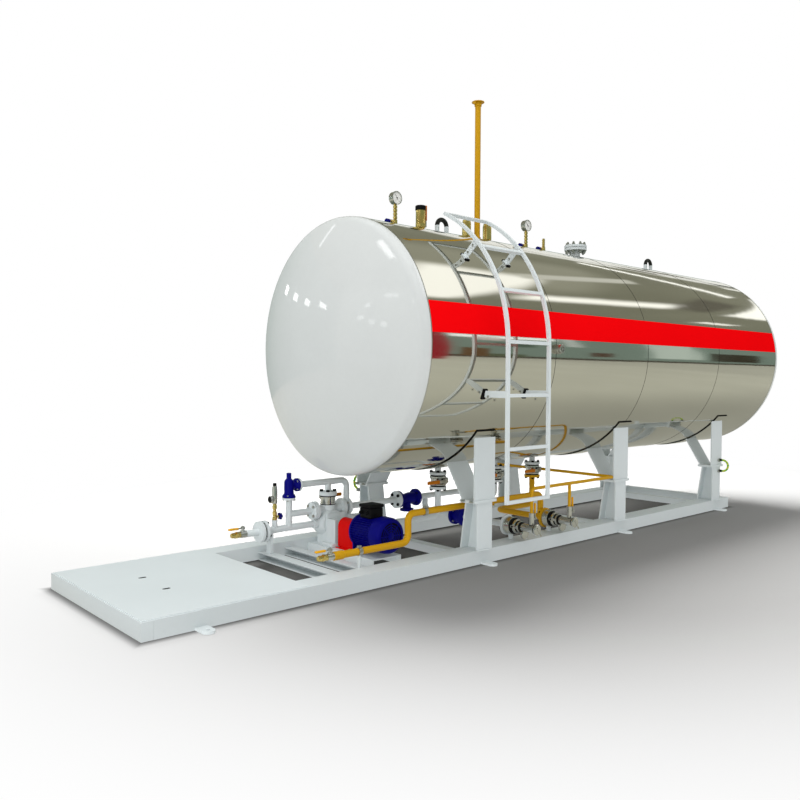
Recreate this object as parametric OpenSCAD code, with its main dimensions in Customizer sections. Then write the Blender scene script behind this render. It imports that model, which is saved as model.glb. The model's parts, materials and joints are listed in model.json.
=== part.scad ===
// Horizontal pressure tank on a skid, with pump set, pipework, ladder and fittings.
// Millimetres. X runs along the tank, Z is up, the origin lies on the ground under the tank's middle.

/* [Tank] */
// outside radius of the shell
tank_r = 800; // [700:900]
// length of the straight shell
shell_length = 4472; // [4300:4650]
// thickness of the shell and of both ends
shell_wall = 10; // [6:16]
// crown radius of a dished end
head_crown_r = 1900; // [1700:2200]
// knuckle radius of a dished end
head_knuckle_r = 54; // [40:100]
// straight rim of a dished end
head_rim = 22; // [12:40]
// gap left between two round faces
skin_gap = 0.3; // [0.2:0.1:0.5]

/* [Skid] */
// length of the skid before the tank's middle
skid_front = 3800; // [3700:3950]
// length of the skid behind the tank's middle
skid_back = 1791; // [1740:1880]
// half of the skid's width
skid_half = 582; // [570:600]
// height of a rail
rail_height = 88; // [80:96]
// width of a rail
rail_width = 149; // [140:154]
// wall of a rail
rail_wall = 6; // [4:10]
// width of an end member
end_width = 60; // [40:80]
// height of a cross beam
beam_height = 52; // [40:60]
// width of a cross beam
beam_width = 70; // [50:90]
// distance of the front pump beam from the middle
beam_front_x = 2540; // [2500:2570]
// distance of the rear pump beam from the middle
beam_rear_x = 2335; // [2320:2360]
// length of the deck sheet
deck_length = 910; // [800:1000]
// thickness of the deck sheet
deck_wall = 4; // [3:8]
// margin around the deck sheet
deck_margin = 10; // [4:20]
// distance of the cable slots from the skid's front
slot_inset = 329; // [280:400]
// length of a cable slot
slot_length = 44; // [36:60]
// width of a cable slot
slot_width = 22; // [16:30]
// offset of the far slot
slot_far_y = 147; // [130:200]
// offset of the near slot
slot_near_y = 141; // [100:160]

/* [Anchor lugs] */
// distance of the front lugs from the middle
lug_front_x = 3510; // [3450:3570]
// width of a lug
lug_width = 64; // [50:80]
// thickness of a lug
lug_wall = 13; // [9:16]
// reach of a lug's bolt hole out from the rail
lug_reach = 68; // [55:80]
// bolt hole of a lug
lug_hole_d = 19; // [14:26]

/* [Legs] */
// spacing of the legs
leg_pitch = 1550; // [1500:1600]
// width of a pedestal
pedestal_width = 140; // [120:160]
// plate thickness of a pedestal
pedestal_wall = 12; // [8:16]
// inward reach of a pedestal's head
pedestal_head_reach = 102; // [90:115]
// inward reach of a pedestal's foot
pedestal_foot_reach = 147; // [138:149]
// height of the splice between the leg halves
splice_height = 386; // [370:395]
// length of a splice plate
splice_length = 200; // [190:230]
// thickness of a splice plate
splice_wall = 9; // [6:12]
// inward reach of a splice plate
splice_reach = 124; // [112:135]
// outward overhang of a splice plate
splice_lip = 11; // [6:16]
// width of an upper leg
post_width = 190; // [170:210]
// plate thickness of an upper leg
post_wall = 10; // [8:14]
// inward reach of a strut's foot
strut_foot_reach = 112; // [100:120]
// inward reach of a strut's head
strut_head_reach = 252; // [235:270]
// height of a strut
strut_height = 225; // [205:245]
// width of a saddle pad
pad_width = 226; // [214:250]
// thickness of a saddle pad
pad_wall = 8; // [6:12]
// half angle covered by a saddle pad
pad_angle = 50; // [48:56]

/* [Ladder] */
// distance of the front stile from the middle
stile_front_x = 1750; // [1720:1770]
// distance of the rear stile from the middle
stile_rear_x = 1367; // [1345:1385]
// section of a stile
stile_size = 20; // [16:26]
// standoff of the stiles from the shell
ladder_standoff = 130; // [110:150]
// height of the ladder's foot
ladder_foot = 435; // [400:470]
// angle covered by the bent top
ladder_angle = 64; // [58:70]
// spacing of the rungs
rung_pitch = 312; // [300:320]
// width of a ladder strap
strap_width = 40; // [30:46]
// thickness of a ladder strap
strap_wall = 8; // [5:10]
// height of the lower straps below the axis
strap_drop = 284; // [250:320]
// angle of the upper straps
strap_angle = 43; // [38:46]

/* [Top fittings] */
// distance of the front gauge from the middle
gauge_front_x = 1800; // [1760:1840]
// distance of the rear gauge from the middle
gauge_rear_x = 445; // [400:490]
// height of a gauge's dial centre over the crown
gauge_height = 190; // [170:205]
// diameter of a gauge dial
gauge_d = 88; // [70:100]
// depth of a gauge dial
gauge_depth = 42; // [30:50]
// diameter of a gauge stem
gauge_stem_d = 30; // [22:36]
// distance of the front relief valve from the middle
relief_a_x = 1570; // [1530:1600]
// distance of the second relief valve from the middle
relief_b_x = 1115; // [1090:1130]
// distance of the third relief valve from the middle
relief_c_x = 895; // [880:920]
// diameter of the front relief valve
relief_a_d = 72; // [60:80]
// height of the front relief valve
relief_a_height = 176; // [150:190]
// diameter of the other relief valves
relief_d = 64; // [50:76]
// height of the other relief valves
relief_height = 142; // [120:160]
// distance of the vent stack from the middle
vent_x = 1003; // [990:1015]
// diameter of the vent stack
vent_d = 42; // [34:50]
// height of the vent stack over the crown
vent_height = 1000; // [900:1100]
// diameter of the vent's rain flap
flap_d = 92; // [70:110]
// thickness of the vent's rain flap
flap_wall = 6; // [4:10]
// distance of the front lifting eye from the middle
eye_front_x = 1366; // [1340:1390]
// distance of the rear lifting eye from the middle
eye_rear_x = 1338; // [1310:1360]
// bar diameter of a lifting eye
eye_bar_d = 31; // [24:36]
// inside width of a lifting eye
eye_gap = 60; // [46:70]
// height of a lifting eye's legs
eye_leg = 63; // [50:76]
// distance of the sampling valve from the middle
sampler_x = 225; // [200:250]
// diameter of the sampling valve
sampler_d = 40; // [30:50]
// height of the sampling valve
sampler_height = 120; // [90:140]
// offset of the blind nozzle from the middle
nozzle_x = 203; // [180:240]
// neck diameter of the blind nozzle
nozzle_d = 76; // [60:90]
// flange diameter of the blind nozzle
nozzle_flange_d = 181; // [160:200]
// thickness of one nozzle flange
nozzle_flange_wall = 22; // [18:28]
// height of the blind nozzle
nozzle_height = 112; // [100:130]
// distance of the side plug from the middle
plug_x = 1110; // [1080:1150]
// diameter of the side plug
plug_d = 64; // [50:80]
// length of the side plug
plug_length = 46; // [34:60]

/* [Pump set] */
// distance of the pump set from the middle
pump_x = 2075; // [2068:2085]
// height of the pump shaft
shaft_height = 195; // [190:205]
// width of the pump base
base_width = 230; // [226:250]
// height of the pump base
base_height = 60; // [54:62]
// wall of the pump base
base_wall = 8; // [6:10]
// near end of the pump base
base_near = 250; // [235:270]
// motor frame diameter
motor_d = 216; // [204:222]
// near end of the motor frame
motor_near = 205; // [195:215]
// far end of the motor frame
motor_far = 10; // [4:14]
// diameter of the fan cover
cowl_d = 226; // [222:236]
// length of the fan cover
cowl_length = 85; // [75:92]
// width of the terminal box
box_width = 118; // [100:140]
// length of the terminal box
box_length = 120; // [100:140]
// height of the terminal box
box_height = 72; // [56:84]
// width of the coupling guard
guard_width = 112; // [100:126]
// near end of the coupling guard
guard_near = 20; // [18:26]
// length of the coupling guard
guard_length = 155; // [145:163]
// middle of the pump casing
line_y = 360; // [350:365]
// diameter of the pump casing
casing_d = 168; // [150:184]
// length of the pump casing
casing_length = 132; // [120:138]
// width of the bearing bracket
adapter_width = 130; // [110:150]
// length of the bearing bracket
adapter_length = 100; // [90:104]
// top of the bearing bracket
adapter_top = 235; // [225:245]
// height of the pump's side ports
port_height = 283; // [278:290]
// diameter of a port flange
port_flange_d = 122; // [110:126]
// thickness of a port flange
port_flange_wall = 22; // [16:24]
// reach of a port flange from the pump's middle
port_reach = 123; // [119:126]

/* [Valves] */
// flange diameter of a ball valve
valve_d = 120; // [110:126]
// flange thickness of a ball valve
valve_flange = 14; // [10:18]
// body diameter of a ball valve
valve_body_d = 106; // [90:108]
// height of a tank outlet valve
valve_height = 118; // [108:124]
// length of the stub between tank and valve
stub_length = 46; // [40:54]
// height of the pump inlet valve
inlet_height = 88; // [84:92]
// foot of the pump inlet valve
inlet_foot = 315; // [312:318]
// diameter of a lever's stem
stem_d = 16; // [12:20]
// play around a lever's stem
stem_play = 0.4; // [0.3:0.1:0.6]
// thickness of a lever
lever_wall = 12; // [8:14]
// clear gap beside a lever
lever_gap = 6; // [5:8]
// width of a lever
lever_width = 24; // [18:28]
// hub diameter of a lever
lever_hub_d = 36; // [32:42]
// length of a large lever
lever_length = 170; // [150:180]
// length of a small lever
small_lever_length = 100; // [85:105]
// height of the tank outlet valves over the return run
return_rise = 112; // [104:124]
// distance of the suction valve from the middle
valve_a_x = 1388; // [1375:1400]
// distance of the return valve from the middle
valve_b_x = 791; // [785:800]
// distance of the vapour valve from the middle
valve_c_x = 343; // [330:360]

/* [Pipework] */
// diameter of the main pipes
pipe_d = 42; // [34:46]
// bend radius of the main pipes
bend_r = 46; // [42:50]
// height of the suction run
suction_height = 205; // [198:212]
// distance of the suction run's corner from the middle
suction_x = 1795; // [1785:1800]
// distance of the pump riser from the middle
riser_x = 1918; // [1912:1922]
// height of the upper run
upper_height = 468; // [463:472]
// distance of the safety valve from the middle
safety_x = 2390; // [2375:2400]
// foot of the safety valve
safety_foot = 390; // [384:396]
// body diameter of the safety valve
safety_d = 62; // [50:70]
// flange diameter of the safety valve
safety_flange_d = 86; // [76:96]
// thickness of a safety valve flange
safety_flange = 13; // [9:16]
// height of the safety valve's body
safety_height = 120; // [115:128]
// height of the safety valve's cap
safety_cap = 40; // [30:52]
// reach of the safety valve's outlet
safety_reach = 66; // [60:74]
// distance of the hose flange from the middle
hose_flange_x = 2588; // [2580:2598]
// diameter of the hose flange
hose_flange_d = 132; // [122:142]
// thickness of the hose flange
hose_flange_wall = 32; // [26:36]
// length of the stub before the white hose valve
hose_stub = 88; // [76:100]
// body diameter of a hose valve
hose_valve_d = 42; // [38:46]
// body length of a hose valve
hose_valve_length = 44; // [42:50]
// diameter of a hose nose
nose_d = 34; // [28:36]
// length of a hose nose
nose_length = 60; // [50:68]
// distance of the sampling stub from the middle
stub_x = 2498; // [2490:2505]
// diameter of the sampling stub
stub_d = 34; // [28:38]
// height of the sampling stub
stub_top = 257; // [250:265]
// height of the brass needle valve
needle_height = 103; // [95:112]
// height of the sampling cylinder
bottle_height = 134; // [120:145]
// distance of the bypass valve's front from the middle
bypass_front_x = 1446; // [1436:1456]
// distance of the bypass valve's rear from the middle
bypass_rear_x = 1256; // [1246:1266]
// flange diameter of the bypass valve
bypass_flange_d = 124; // [112:130]
// body diameter of the bypass valve
bypass_d = 88; // [76:96]
// flange thickness of the bypass valve
bypass_flange = 18; // [14:22]
// drop of the bypass valve's lower flange
bypass_drop = 92; // [84:100]
// near offset of the vapour pipe
vapour_y = 400; // [392:405]
// height of the vapour pipe's front run
vapour_low = 172; // [166:178]
// height of the vapour pipe's rear run
vapour_high = 345; // [338:350]
// distance of the vapour pipe's riser from the middle
vapour_riser_x = 2040; // [2030:2060]
// distance of the vapour hose valve from the middle
vapour_hose_x = 2608; // [2595:2620]
// diameter of the clamp post
post_d = 22; // [16:28]
// distance of the vapour pipe's clamp from the middle
clamp_x = 2420; // [2405:2435]
// diameter of the bleed pipe
bleed_d = 22; // [18:26]
// bend radius of the bleed pipe
bleed_bend_r = 34; // [28:40]
// height of the bleed pipe
bleed_height = 445; // [438:452]
// near offset of the bleed pipe
bleed_y = 650; // [645:658]
// distance of the bleed pipe's cross run from the middle
bleed_cross_x = 205; // [196:215]
// far offset of the bleed pipe's end
bleed_far_y = 520; // [505:535]

/* [Fill couplings] */
// distance of the liquid coupling from the middle
fill_x = 1166; // [1155:1180]
// distance of the vapour coupling from the middle
return_x = 750; // [742:756]
// height of the couplings
fill_height = 180; // [174:186]
// near offset of the coupling flanges
fill_y = 450; // [440:458]
// flange diameter of a coupling
fill_flange_d = 136; // [126:142]
// flange thickness of a coupling
fill_flange_wall = 14; // [10:18]
// body diameter of a coupling
fill_body_d = 116; // [104:122]
// body length of a coupling
fill_body = 50; // [40:58]
// collar diameter of a coupling
collar_d = 98; // [86:102]
// collar length of a coupling
collar = 34; // [28:40]
// nose diameter of a coupling
spout_d = 58; // [50:64]
// nose length of a coupling
spout = 158; // [145:168]
// cap diameter of a coupling
cap_d = 72; // [66:80]
// cap thickness of a coupling
cap_wall = 16; // [12:20]
// body diameter of a bleed valve
bleed_valve_d = 34; // [28:38]
// top height of a bleed valve
bleed_valve_top = 285; // [278:292]
// diameter of the check valve
check_d = 132; // [120:138]
// length of the check valve
check_length = 104; // [96:112]
// width of a coupling bracket
bracket_width = 40; // [30:50]
// thickness of a coupling bracket
bracket_wall = 8; // [6:12]

/* [Earth bonds] */
// cord diameter of an earth bond
bond_d = 13; // [10:16]
// bend radius of an earth bond
bond_r = 49; // [44:54]
// straight end of an earth bond
bond_end = 30; // [22:36]
// offset of an earth bond from the leg's middle
bond_x = 56; // [46:58]

/* [Hidden] */
$fn = 64;
knuckle_steps = 8;
crown_steps = 16;
valve_foot = port_height + return_rise;
valve_top = valve_foot + valve_height;
bottom = valve_top + stub_length;
axis_height = bottom + tank_r;
crown = axis_height + tank_r;
shell_half = shell_length / 2;
rail_inner = skid_half - rail_width;
pad_r = tank_r + pad_wall + 2 * skin_gap;
ladder_r = tank_r + ladder_standoff;
pump_top = inlet_foot;
inlet_top = inlet_foot + inlet_height;
cowl_near = motor_near + cowl_length;
hose_axis = [-hose_flange_x, line_y, shaft_height];
hose_valve_x = hose_flange_x + hose_flange_wall + hose_stub;
clear_bolt = 2 * skin_gap;
leg_xs = [-leg_pitch, 0, leg_pitch];
lug_xs = [-lug_front_x, -leg_pitch, 0, leg_pitch];
rung_straight = [for (i = [0 : 2]) ladder_foot + stile_size / 2 + i * rung_pitch];
rung_arc_0 = ladder_foot + stile_size / 2 + 3 * rung_pitch;
rung_step = rung_pitch / ladder_r * 180 / PI;
rung_angles = [for (i = [0 : 2]) (rung_arc_0 - axis_height) / ladder_r * 180 / PI + i * rung_step];
nozzle_neck = nozzle_height - 2 * nozzle_flange_wall;
bypass_x = (bypass_front_x + bypass_rear_x) / 2;
fill_end = fill_y + fill_body + collar + spout + cap_wall;

function way(a, b) = (b - a) / norm(b - a);

module rod(a, b, d) {
  u = way(a, b);
  translate(a) rotate([0, acos(u[2]), atan2(u[1], u[0])]) cylinder(d = d, h = norm(b - a));
}

module bend(a, p, b, d, r) {
  m = way(a, p);
  n = way(p, b);
  c = p - m * r + n * r;
  k = cross(m, n);
  multmatrix([[-n[0], m[0], k[0], c[0]], [-n[1], m[1], k[1], c[1]], [-n[2], m[2], k[2], c[2]], [0, 0, 0, 1]])
    rotate_extrude(angle = 90) translate([r, 0]) circle(d = d);
}

module pipe(p, d, r) {
  n = len(p) - 1;
  for (i = [0 : n - 1]) {
    u = way(p[i], p[i + 1]);
    rod(p[i] + (i > 0 ? r : 0) * u, p[i + 1] - (i < n - 1 ? r : 0) * u, d);
  }
  if (n > 1) for (i = [1 : n - 1]) bend(p[i - 1], p[i], p[i + 1], d, r);
}

module block(a, b) {
  translate(a) cube(b - a);
}

module both_sides() {
  children();
  mirror([0, 1, 0]) children();
}

module along_x(r, h) {
  rotate([0, 90, 0]) cylinder(r = r, h = h);
}

// outer line of a dished end: straight rim, knuckle arc, crown arc up to the axis
function dish_line(r, crown_r, knuckle_r) =
  let (c = [r - knuckle_r, 0],
    o = [0, -sqrt(pow(crown_r - knuckle_r, 2) - pow(c[0], 2))],
    lean = atan2(-o[1], c[0]))
  concat([[r, -head_rim]],
    [for (i = [0 : knuckle_steps]) let (a = lean * i / knuckle_steps) c + knuckle_r * [cos(a), sin(a)]],
    [for (i = [1 : crown_steps]) let (a = lean + (90 - lean) * i / crown_steps)
      o + crown_r * [cos(a), sin(a)]]);

module head_form() {
  outer = dish_line(tank_r, head_crown_r, head_knuckle_r);
  inner = dish_line(tank_r - shell_wall, head_crown_r - shell_wall, head_knuckle_r - shell_wall);
  n = len(inner) - 1;
  rotate_extrude($fn = 128) polygon(concat(outer, [for (i = [0 : n]) inner[n - i]]));
}

module tank_shell() {
  color("silver") translate([-shell_half, 0, axis_height]) difference() {
    along_x(tank_r, shell_length, $fn = 128);
    translate([-shell_wall, 0, 0]) along_x(tank_r - shell_wall, shell_length + 2 * shell_wall, $fn = 128);
  }
}

module front_head() {
  color("white") translate([-shell_half - head_rim, 0, axis_height]) rotate([0, -90, 0]) head_form();
}

module rear_head() {
  color("white") translate([shell_half + head_rim, 0, axis_height]) rotate([0, 90, 0]) head_form();
}

module saddle_pads() {
  reach = 2 * tank_r;
  color("gainsboro") for (x = leg_xs) translate([x - pad_width / 2, 0, axis_height]) intersection() {
    difference() {
      along_x(tank_r + skin_gap + pad_wall, pad_width, $fn = 128);
      translate([-pad_width, 0, 0]) along_x(tank_r + skin_gap, 3 * pad_width, $fn = 128);
    }
    rotate([90, 0, 90]) linear_extrude(pad_width)
      polygon([[0, 0], [-reach * sin(pad_angle), -reach * cos(pad_angle)], [-reach, -2 * reach],
        [reach, -2 * reach], [reach * sin(pad_angle), -reach * cos(pad_angle)]]);
  }
}

module rail() {
  difference() {
    block([-skid_front + end_width, -skid_half, 0], [skid_back - end_width, -rail_inner, rail_height]);
    block([-skid_front, -skid_half + rail_wall, rail_wall],
      [skid_back, -rail_inner - rail_wall, rail_height - rail_wall]);
  }
}

module near_rail() {
  color("white") rail();
}

module far_rail() {
  color("white") mirror([0, 1, 0]) rail();
}

module cross_members() {
  color("white") {
    block([-skid_front, -skid_half, 0], [-skid_front + end_width, skid_half, rail_height]);
    block([skid_back - end_width, -skid_half, 0], [skid_back, skid_half, rail_height]);
  }
  color("white") for (x = [-beam_front_x, -beam_rear_x, -leg_pitch, 0, leg_pitch])
    block([x - beam_width / 2, -rail_inner, 0], [x + beam_width / 2, rail_inner, beam_height]);
}

module slot(y) {
  translate([-skid_front + slot_inset, y, rail_height - deck_wall]) linear_extrude(3 * deck_wall) {
    square([slot_length - slot_width, slot_width], center = true);
    for (s = [-1, 1]) translate([s * (slot_length - slot_width) / 2, 0]) circle(d = slot_width);
  }
}

module deck_plate() {
  color("white") difference() {
    block([-skid_front + deck_margin, -skid_half + deck_margin, rail_height],
      [-skid_front + deck_length, skid_half - deck_margin, rail_height + deck_wall]);
    slot(slot_far_y);
    slot(-slot_near_y);
  }
}

module anchor_lugs() {
  color("white") both_sides() for (x = lug_xs) translate([x, -skid_half, 0]) linear_extrude(lug_wall)
    difference() {
      union() {
        translate([-lug_width / 2, -lug_reach]) square([lug_width, lug_reach]);
        translate([0, -lug_reach]) circle(d = lug_width);
      }
      translate([0, -lug_reach]) circle(d = lug_hole_d);
    }
}

module pedestal() {
  head = -skid_half + pedestal_head_reach;
  foot = -skid_half + pedestal_foot_reach;
  translate([-pedestal_width / 2, 0, 0]) rotate([90, 0, 90]) {
    linear_extrude(pedestal_width) {
      polygon([[-skid_half, rail_height], [-skid_half + pedestal_wall, rail_height],
        [-skid_half + pedestal_wall, splice_height], [-skid_half, splice_height]]);
      polygon([[foot - pedestal_wall, rail_height], [foot, rail_height], [head, splice_height],
        [head - pedestal_wall, splice_height]]);
    }
    translate([0, 0, pedestal_width / 2 - pedestal_wall / 2]) linear_extrude(pedestal_wall)
      polygon([[-skid_half, rail_height], [foot, rail_height], [head, splice_height],
        [-skid_half, splice_height]]);
  }
  block([-splice_length / 2, -skid_half - splice_lip, splice_height],
    [splice_length / 2, -skid_half + splice_reach, splice_height + splice_wall]);
}

module leg_pedestals() {
  color("white") both_sides() for (x = leg_xs) translate([x, 0, 0]) pedestal();
}

module upright() {
  foot = -skid_half + strut_foot_reach;
  head = -skid_half + strut_head_reach;
  base = splice_height + splice_wall;
  top = base + splice_wall;
  lean = (head - foot) / strut_height;
  difference() {
    translate([-post_width / 2, 0, 0]) rotate([90, 0, 90]) linear_extrude(post_width) {
      polygon([[-skid_half, top], [-skid_half + post_wall, top], [-skid_half + post_wall, axis_height],
        [-skid_half, axis_height]]);
      polygon([[foot - post_wall, top], [foot, top], [head + lean * strut_height, top + 2 * strut_height],
        [head - post_wall + lean * strut_height, top + 2 * strut_height]]);
    }
    translate([-post_width, 0, axis_height]) along_x(pad_r, 2 * post_width, $fn = 128);
  }
  block([-splice_length / 2, -skid_half - splice_lip, base],
    [splice_length / 2, -skid_half + splice_reach, top]);
}

module leg_uprights() {
  color("white") both_sides() for (x = leg_xs) translate([x, 0, 0]) upright();
}

module stile(x) {
  half = stile_size / 2;
  block([x - half, -ladder_r - half, ladder_foot], [x + half, -ladder_r + half, axis_height]);
  multmatrix([[0, 0, -1, x], [-1, 0, 0, 0], [0, 1, 0, axis_height], [0, 0, 0, 1]])
    rotate_extrude(angle = ladder_angle, $fn = 128)
      translate([ladder_r - half, -half]) square([stile_size, stile_size]);
}

module ladder_stiles() {
  color("white") {
    stile(-stile_front_x);
    stile(-stile_rear_x);
  }
}

module rung() {
  block([-stile_front_x + stile_size / 2, -stile_size / 2, -stile_size / 2],
    [-stile_rear_x - stile_size / 2, stile_size / 2, stile_size / 2]);
}

module ladder_rungs() {
  color("white") {
    for (z = rung_straight) translate([0, -ladder_r, z]) rung();
    for (a = rung_angles) translate([0, 0, axis_height]) rotate([-a, 0, 0])
      translate([0, -ladder_r, 0]) rung();
    translate([0, 0, axis_height]) rotate([-ladder_angle + stile_size / ladder_r * 30, 0, 0])
      translate([0, -ladder_r, 0]) rung();
  }
}

module strap(x) {
  head = sqrt(pow(ladder_r - stile_size / 2 - skin_gap, 2) - pow(strap_width / 2, 2));
  block([x - strap_wall / 2, -head, -strap_width / 2],
    [x + strap_wall / 2, -tank_r - strap_wall - skin_gap, strap_width / 2]);
  block([x - strap_width / 2, -tank_r - strap_wall - skin_gap, -strap_width / 2],
    [x + strap_width / 2, -tank_r - skin_gap, strap_width / 2]);
}

module low_strap(x) {
  foot = sqrt(pow(tank_r + skin_gap, 2) - pow(strap_drop - strap_width / 2, 2));
  translate([0, 0, axis_height - strap_drop]) {
    block([x - strap_wall / 2, -ladder_r + stile_size / 2, -strap_width / 2],
      [x + strap_wall / 2, -foot, strap_width / 2]);
  }
}

module ladder_straps() {
  color("white") for (x = [-stile_front_x, -stile_rear_x]) {
    low_strap(x);
    translate([0, 0, axis_height]) rotate([-strap_angle, 0, 0]) strap(x);
  }
}

module gauge_stems() {
  color("goldenrod") for (x = [-gauge_front_x, -gauge_rear_x]) {
    rod([x, 0, crown + skin_gap], [x, 0, crown + gauge_height - gauge_d / 2 - skin_gap], gauge_stem_d);
    translate([x, 0, crown + skin_gap]) cylinder(d = 2 * gauge_stem_d, h = gauge_stem_d / 2);
  }
  color("goldenrod") translate([-sampler_x, 0, crown + skin_gap]) cylinder(d = sampler_d, h = sampler_height);
}

module gauge_dials() {
  color("gray") for (x = [-gauge_front_x, -gauge_rear_x])
    rod([x, -gauge_depth / 2, crown + gauge_height], [x, gauge_depth / 2, crown + gauge_height], gauge_d);
}

module relief_valves() {
  color("goldenrod") translate([0, 0, crown + skin_gap]) {
    translate([-relief_a_x, 0, 0]) cylinder(d = relief_a_d, h = relief_a_height);
    for (x = [-relief_b_x, -relief_c_x]) translate([x, 0, 0]) cylinder(d = relief_d, h = relief_height);
  }
}

module vent_stack() {
  color("gold") translate([-vent_x, 0, crown + skin_gap]) {
    cylinder(d = vent_d, h = vent_height);
    translate([0, 0, vent_height]) cylinder(d = flap_d, h = flap_wall);
  }
}

module lifting_eyes() {
  r = (eye_gap + eye_bar_d) / 2;
  color("white") for (x = [-eye_front_x, eye_rear_x]) translate([x, 0, crown + skin_gap]) {
    for (s = [-1, 1]) translate([s * r, 0, 0]) cylinder(d = eye_bar_d, h = eye_leg);
    translate([0, 0, eye_leg]) rotate([90, 0, 0]) rotate_extrude(angle = 180) translate([r, 0])
      circle(d = eye_bar_d);
  }
}

module blind_nozzle() {
  color("white") translate([nozzle_x, 0, crown + skin_gap]) {
    cylinder(d = nozzle_d, h = nozzle_neck);
    translate([0, 0, nozzle_neck]) cylinder(d = nozzle_flange_d, h = 2 * nozzle_flange_wall);
  }
}

module side_plug() {
  y = tank_r + skin_gap;
  color("gray") rod([-plug_x, -y - plug_length, axis_height], [-plug_x, -y, axis_height], plug_d);
}

module pump_base() {
  half = base_width / 2;
  color("white") translate([-pump_x, 0, 0]) difference() {
    block([-half, -base_near, 0], [half, rail_inner, base_height]);
    block([-half + base_wall, -base_near - base_wall, -base_wall],
      [half - base_wall, rail_inner + base_wall, base_height - base_wall]);
  }
}

module motor_frame() {
  foot = motor_d / 3;
  color("navy") {
    rod([-pump_x, -motor_near, shaft_height], [-pump_x, motor_far, shaft_height], motor_d);
    for (s = [-1, 1]) translate([-pump_x, 0, 0])
      block([s > 0 ? foot / 2 : -1.5 * foot, -motor_near / 2, base_height],
        [s > 0 ? 1.5 * foot : -foot / 2, motor_far / 2, shaft_height]);
  }
}

module motor_cowl() {
  color("navy") rod([-pump_x, -cowl_near, shaft_height], [-pump_x, -motor_near, shaft_height], cowl_d);
}

module terminal_box() {
  y = (motor_far - motor_near) / 2;
  color("black") difference() {
    translate([-pump_x, y, shaft_height])
      block([-box_width / 2, -box_length / 2, 0],
        [box_width / 2, box_length / 2, motor_d / 2 + box_height]);
    rod([-pump_x, -cowl_near, shaft_height], [-pump_x, cowl_near, shaft_height], motor_d + clear_bolt);
    translate([-pump_x, y, 0])
      block([-box_width, -box_length, 0], [box_width, box_length, shaft_height + motor_d / 4]);
  }
}

module coupling_guard() {
  color("red") translate([-pump_x, guard_near, 0]) {
    block([-guard_width / 2, 0, base_height], [guard_width / 2, guard_length, shaft_height]);
    translate([0, 0, shaft_height]) rotate([-90, 0, 0]) cylinder(d = guard_width, h = guard_length);
  }
}

module port(s) {
  rod([-pump_x, line_y, port_height], [-pump_x + s * port_reach, line_y, port_height], port_flange_d / 2);
  rod([-pump_x + s * (port_reach - port_flange_wall), line_y, port_height],
    [-pump_x + s * port_reach, line_y, port_height], port_flange_d);
}

module pump_casing() {
  color("white") {
    rod([-pump_x, line_y - casing_length / 2, shaft_height],
      [-pump_x, line_y + casing_length / 2, shaft_height], casing_d);
    translate([-pump_x, line_y, 0])
      block([-casing_d / 3, -casing_length / 3, base_height],
        [casing_d / 3, casing_length / 3, shaft_height]);
    translate([-pump_x, line_y - casing_length / 2, 0])
      block([-adapter_width / 2, -adapter_length, base_height],
        [adapter_width / 2, casing_length / 4, adapter_top]);
    rod([-pump_x, line_y, shaft_height], [-pump_x, line_y, pump_top], valve_body_d);
    port(-1);
    port(1);
    rod([-pump_x, line_y, shaft_height], [-pump_x - port_reach, line_y, shaft_height], port_flange_d / 2);
  }
}

module ball_valve(p, h, s) {
  c = p + [0, 0, h / 2];
  stem_end = valve_d / 2 + lever_gap + lever_wall + lever_gap;
  translate(p) cylinder(d = valve_d, h = valve_flange);
  translate(p + [0, 0, h - valve_flange]) cylinder(d = valve_d, h = valve_flange);
  translate(p) cylinder(d = valve_body_d, h = h);
  rod(c, c + [0, s * valve_d / 2, 0], 2 * stem_d);
  rod(c, c + [0, s * stem_end, 0], stem_d);
}

module big_lever(p, h, s, dir) {
  c = p + [0, s * (valve_d / 2 + lever_gap), h / 2];
  e = c + [0, s * lever_wall, 0];
  difference() {
    union() {
      rod(c, e, lever_hub_d);
      translate(c) block([dir > 0 ? 0 : -lever_length, s > 0 ? 0 : -lever_wall, -lever_width / 2],
        [dir > 0 ? lever_length : 0, s > 0 ? lever_wall : 0, lever_width / 2]);
    }
    rod(c - [0, s * lever_wall, 0], e + [0, s * lever_wall, 0], stem_d + 2 * stem_play);
  }
}

suction_at = [-valve_a_x, 0, valve_foot];
return_at = [-valve_b_x, 0, valve_foot];
vapour_at = [-valve_c_x, 0, valve_foot];
inlet_at = [-pump_x, line_y, inlet_foot];

module outlet_valve(p) {
  color("silver") {
    ball_valve(p, valve_height, -1);
    rod(p + [0, 0, valve_height], [p[0], p[1], bottom - skin_gap], pipe_d);
  }
}

module inlet_valve() {
  color("silver") ball_valve(inlet_at, inlet_height, 1);
}

module inlet_lever() {
  color("darkorange") big_lever(inlet_at, inlet_height, 1, 1);
}

module outlet_valves() {
  for (p = [suction_at, return_at, vapour_at]) outlet_valve(p);
}

module suction_lever() {
  color("darkorange") big_lever(suction_at, valve_height, -1, -1);
}

module return_lever() {
  color("darkorange") big_lever(return_at, valve_height, -1, -1);
}

module vapour_lever() {
  color("darkorange") big_lever(vapour_at, valve_height, -1, -1);
}

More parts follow.
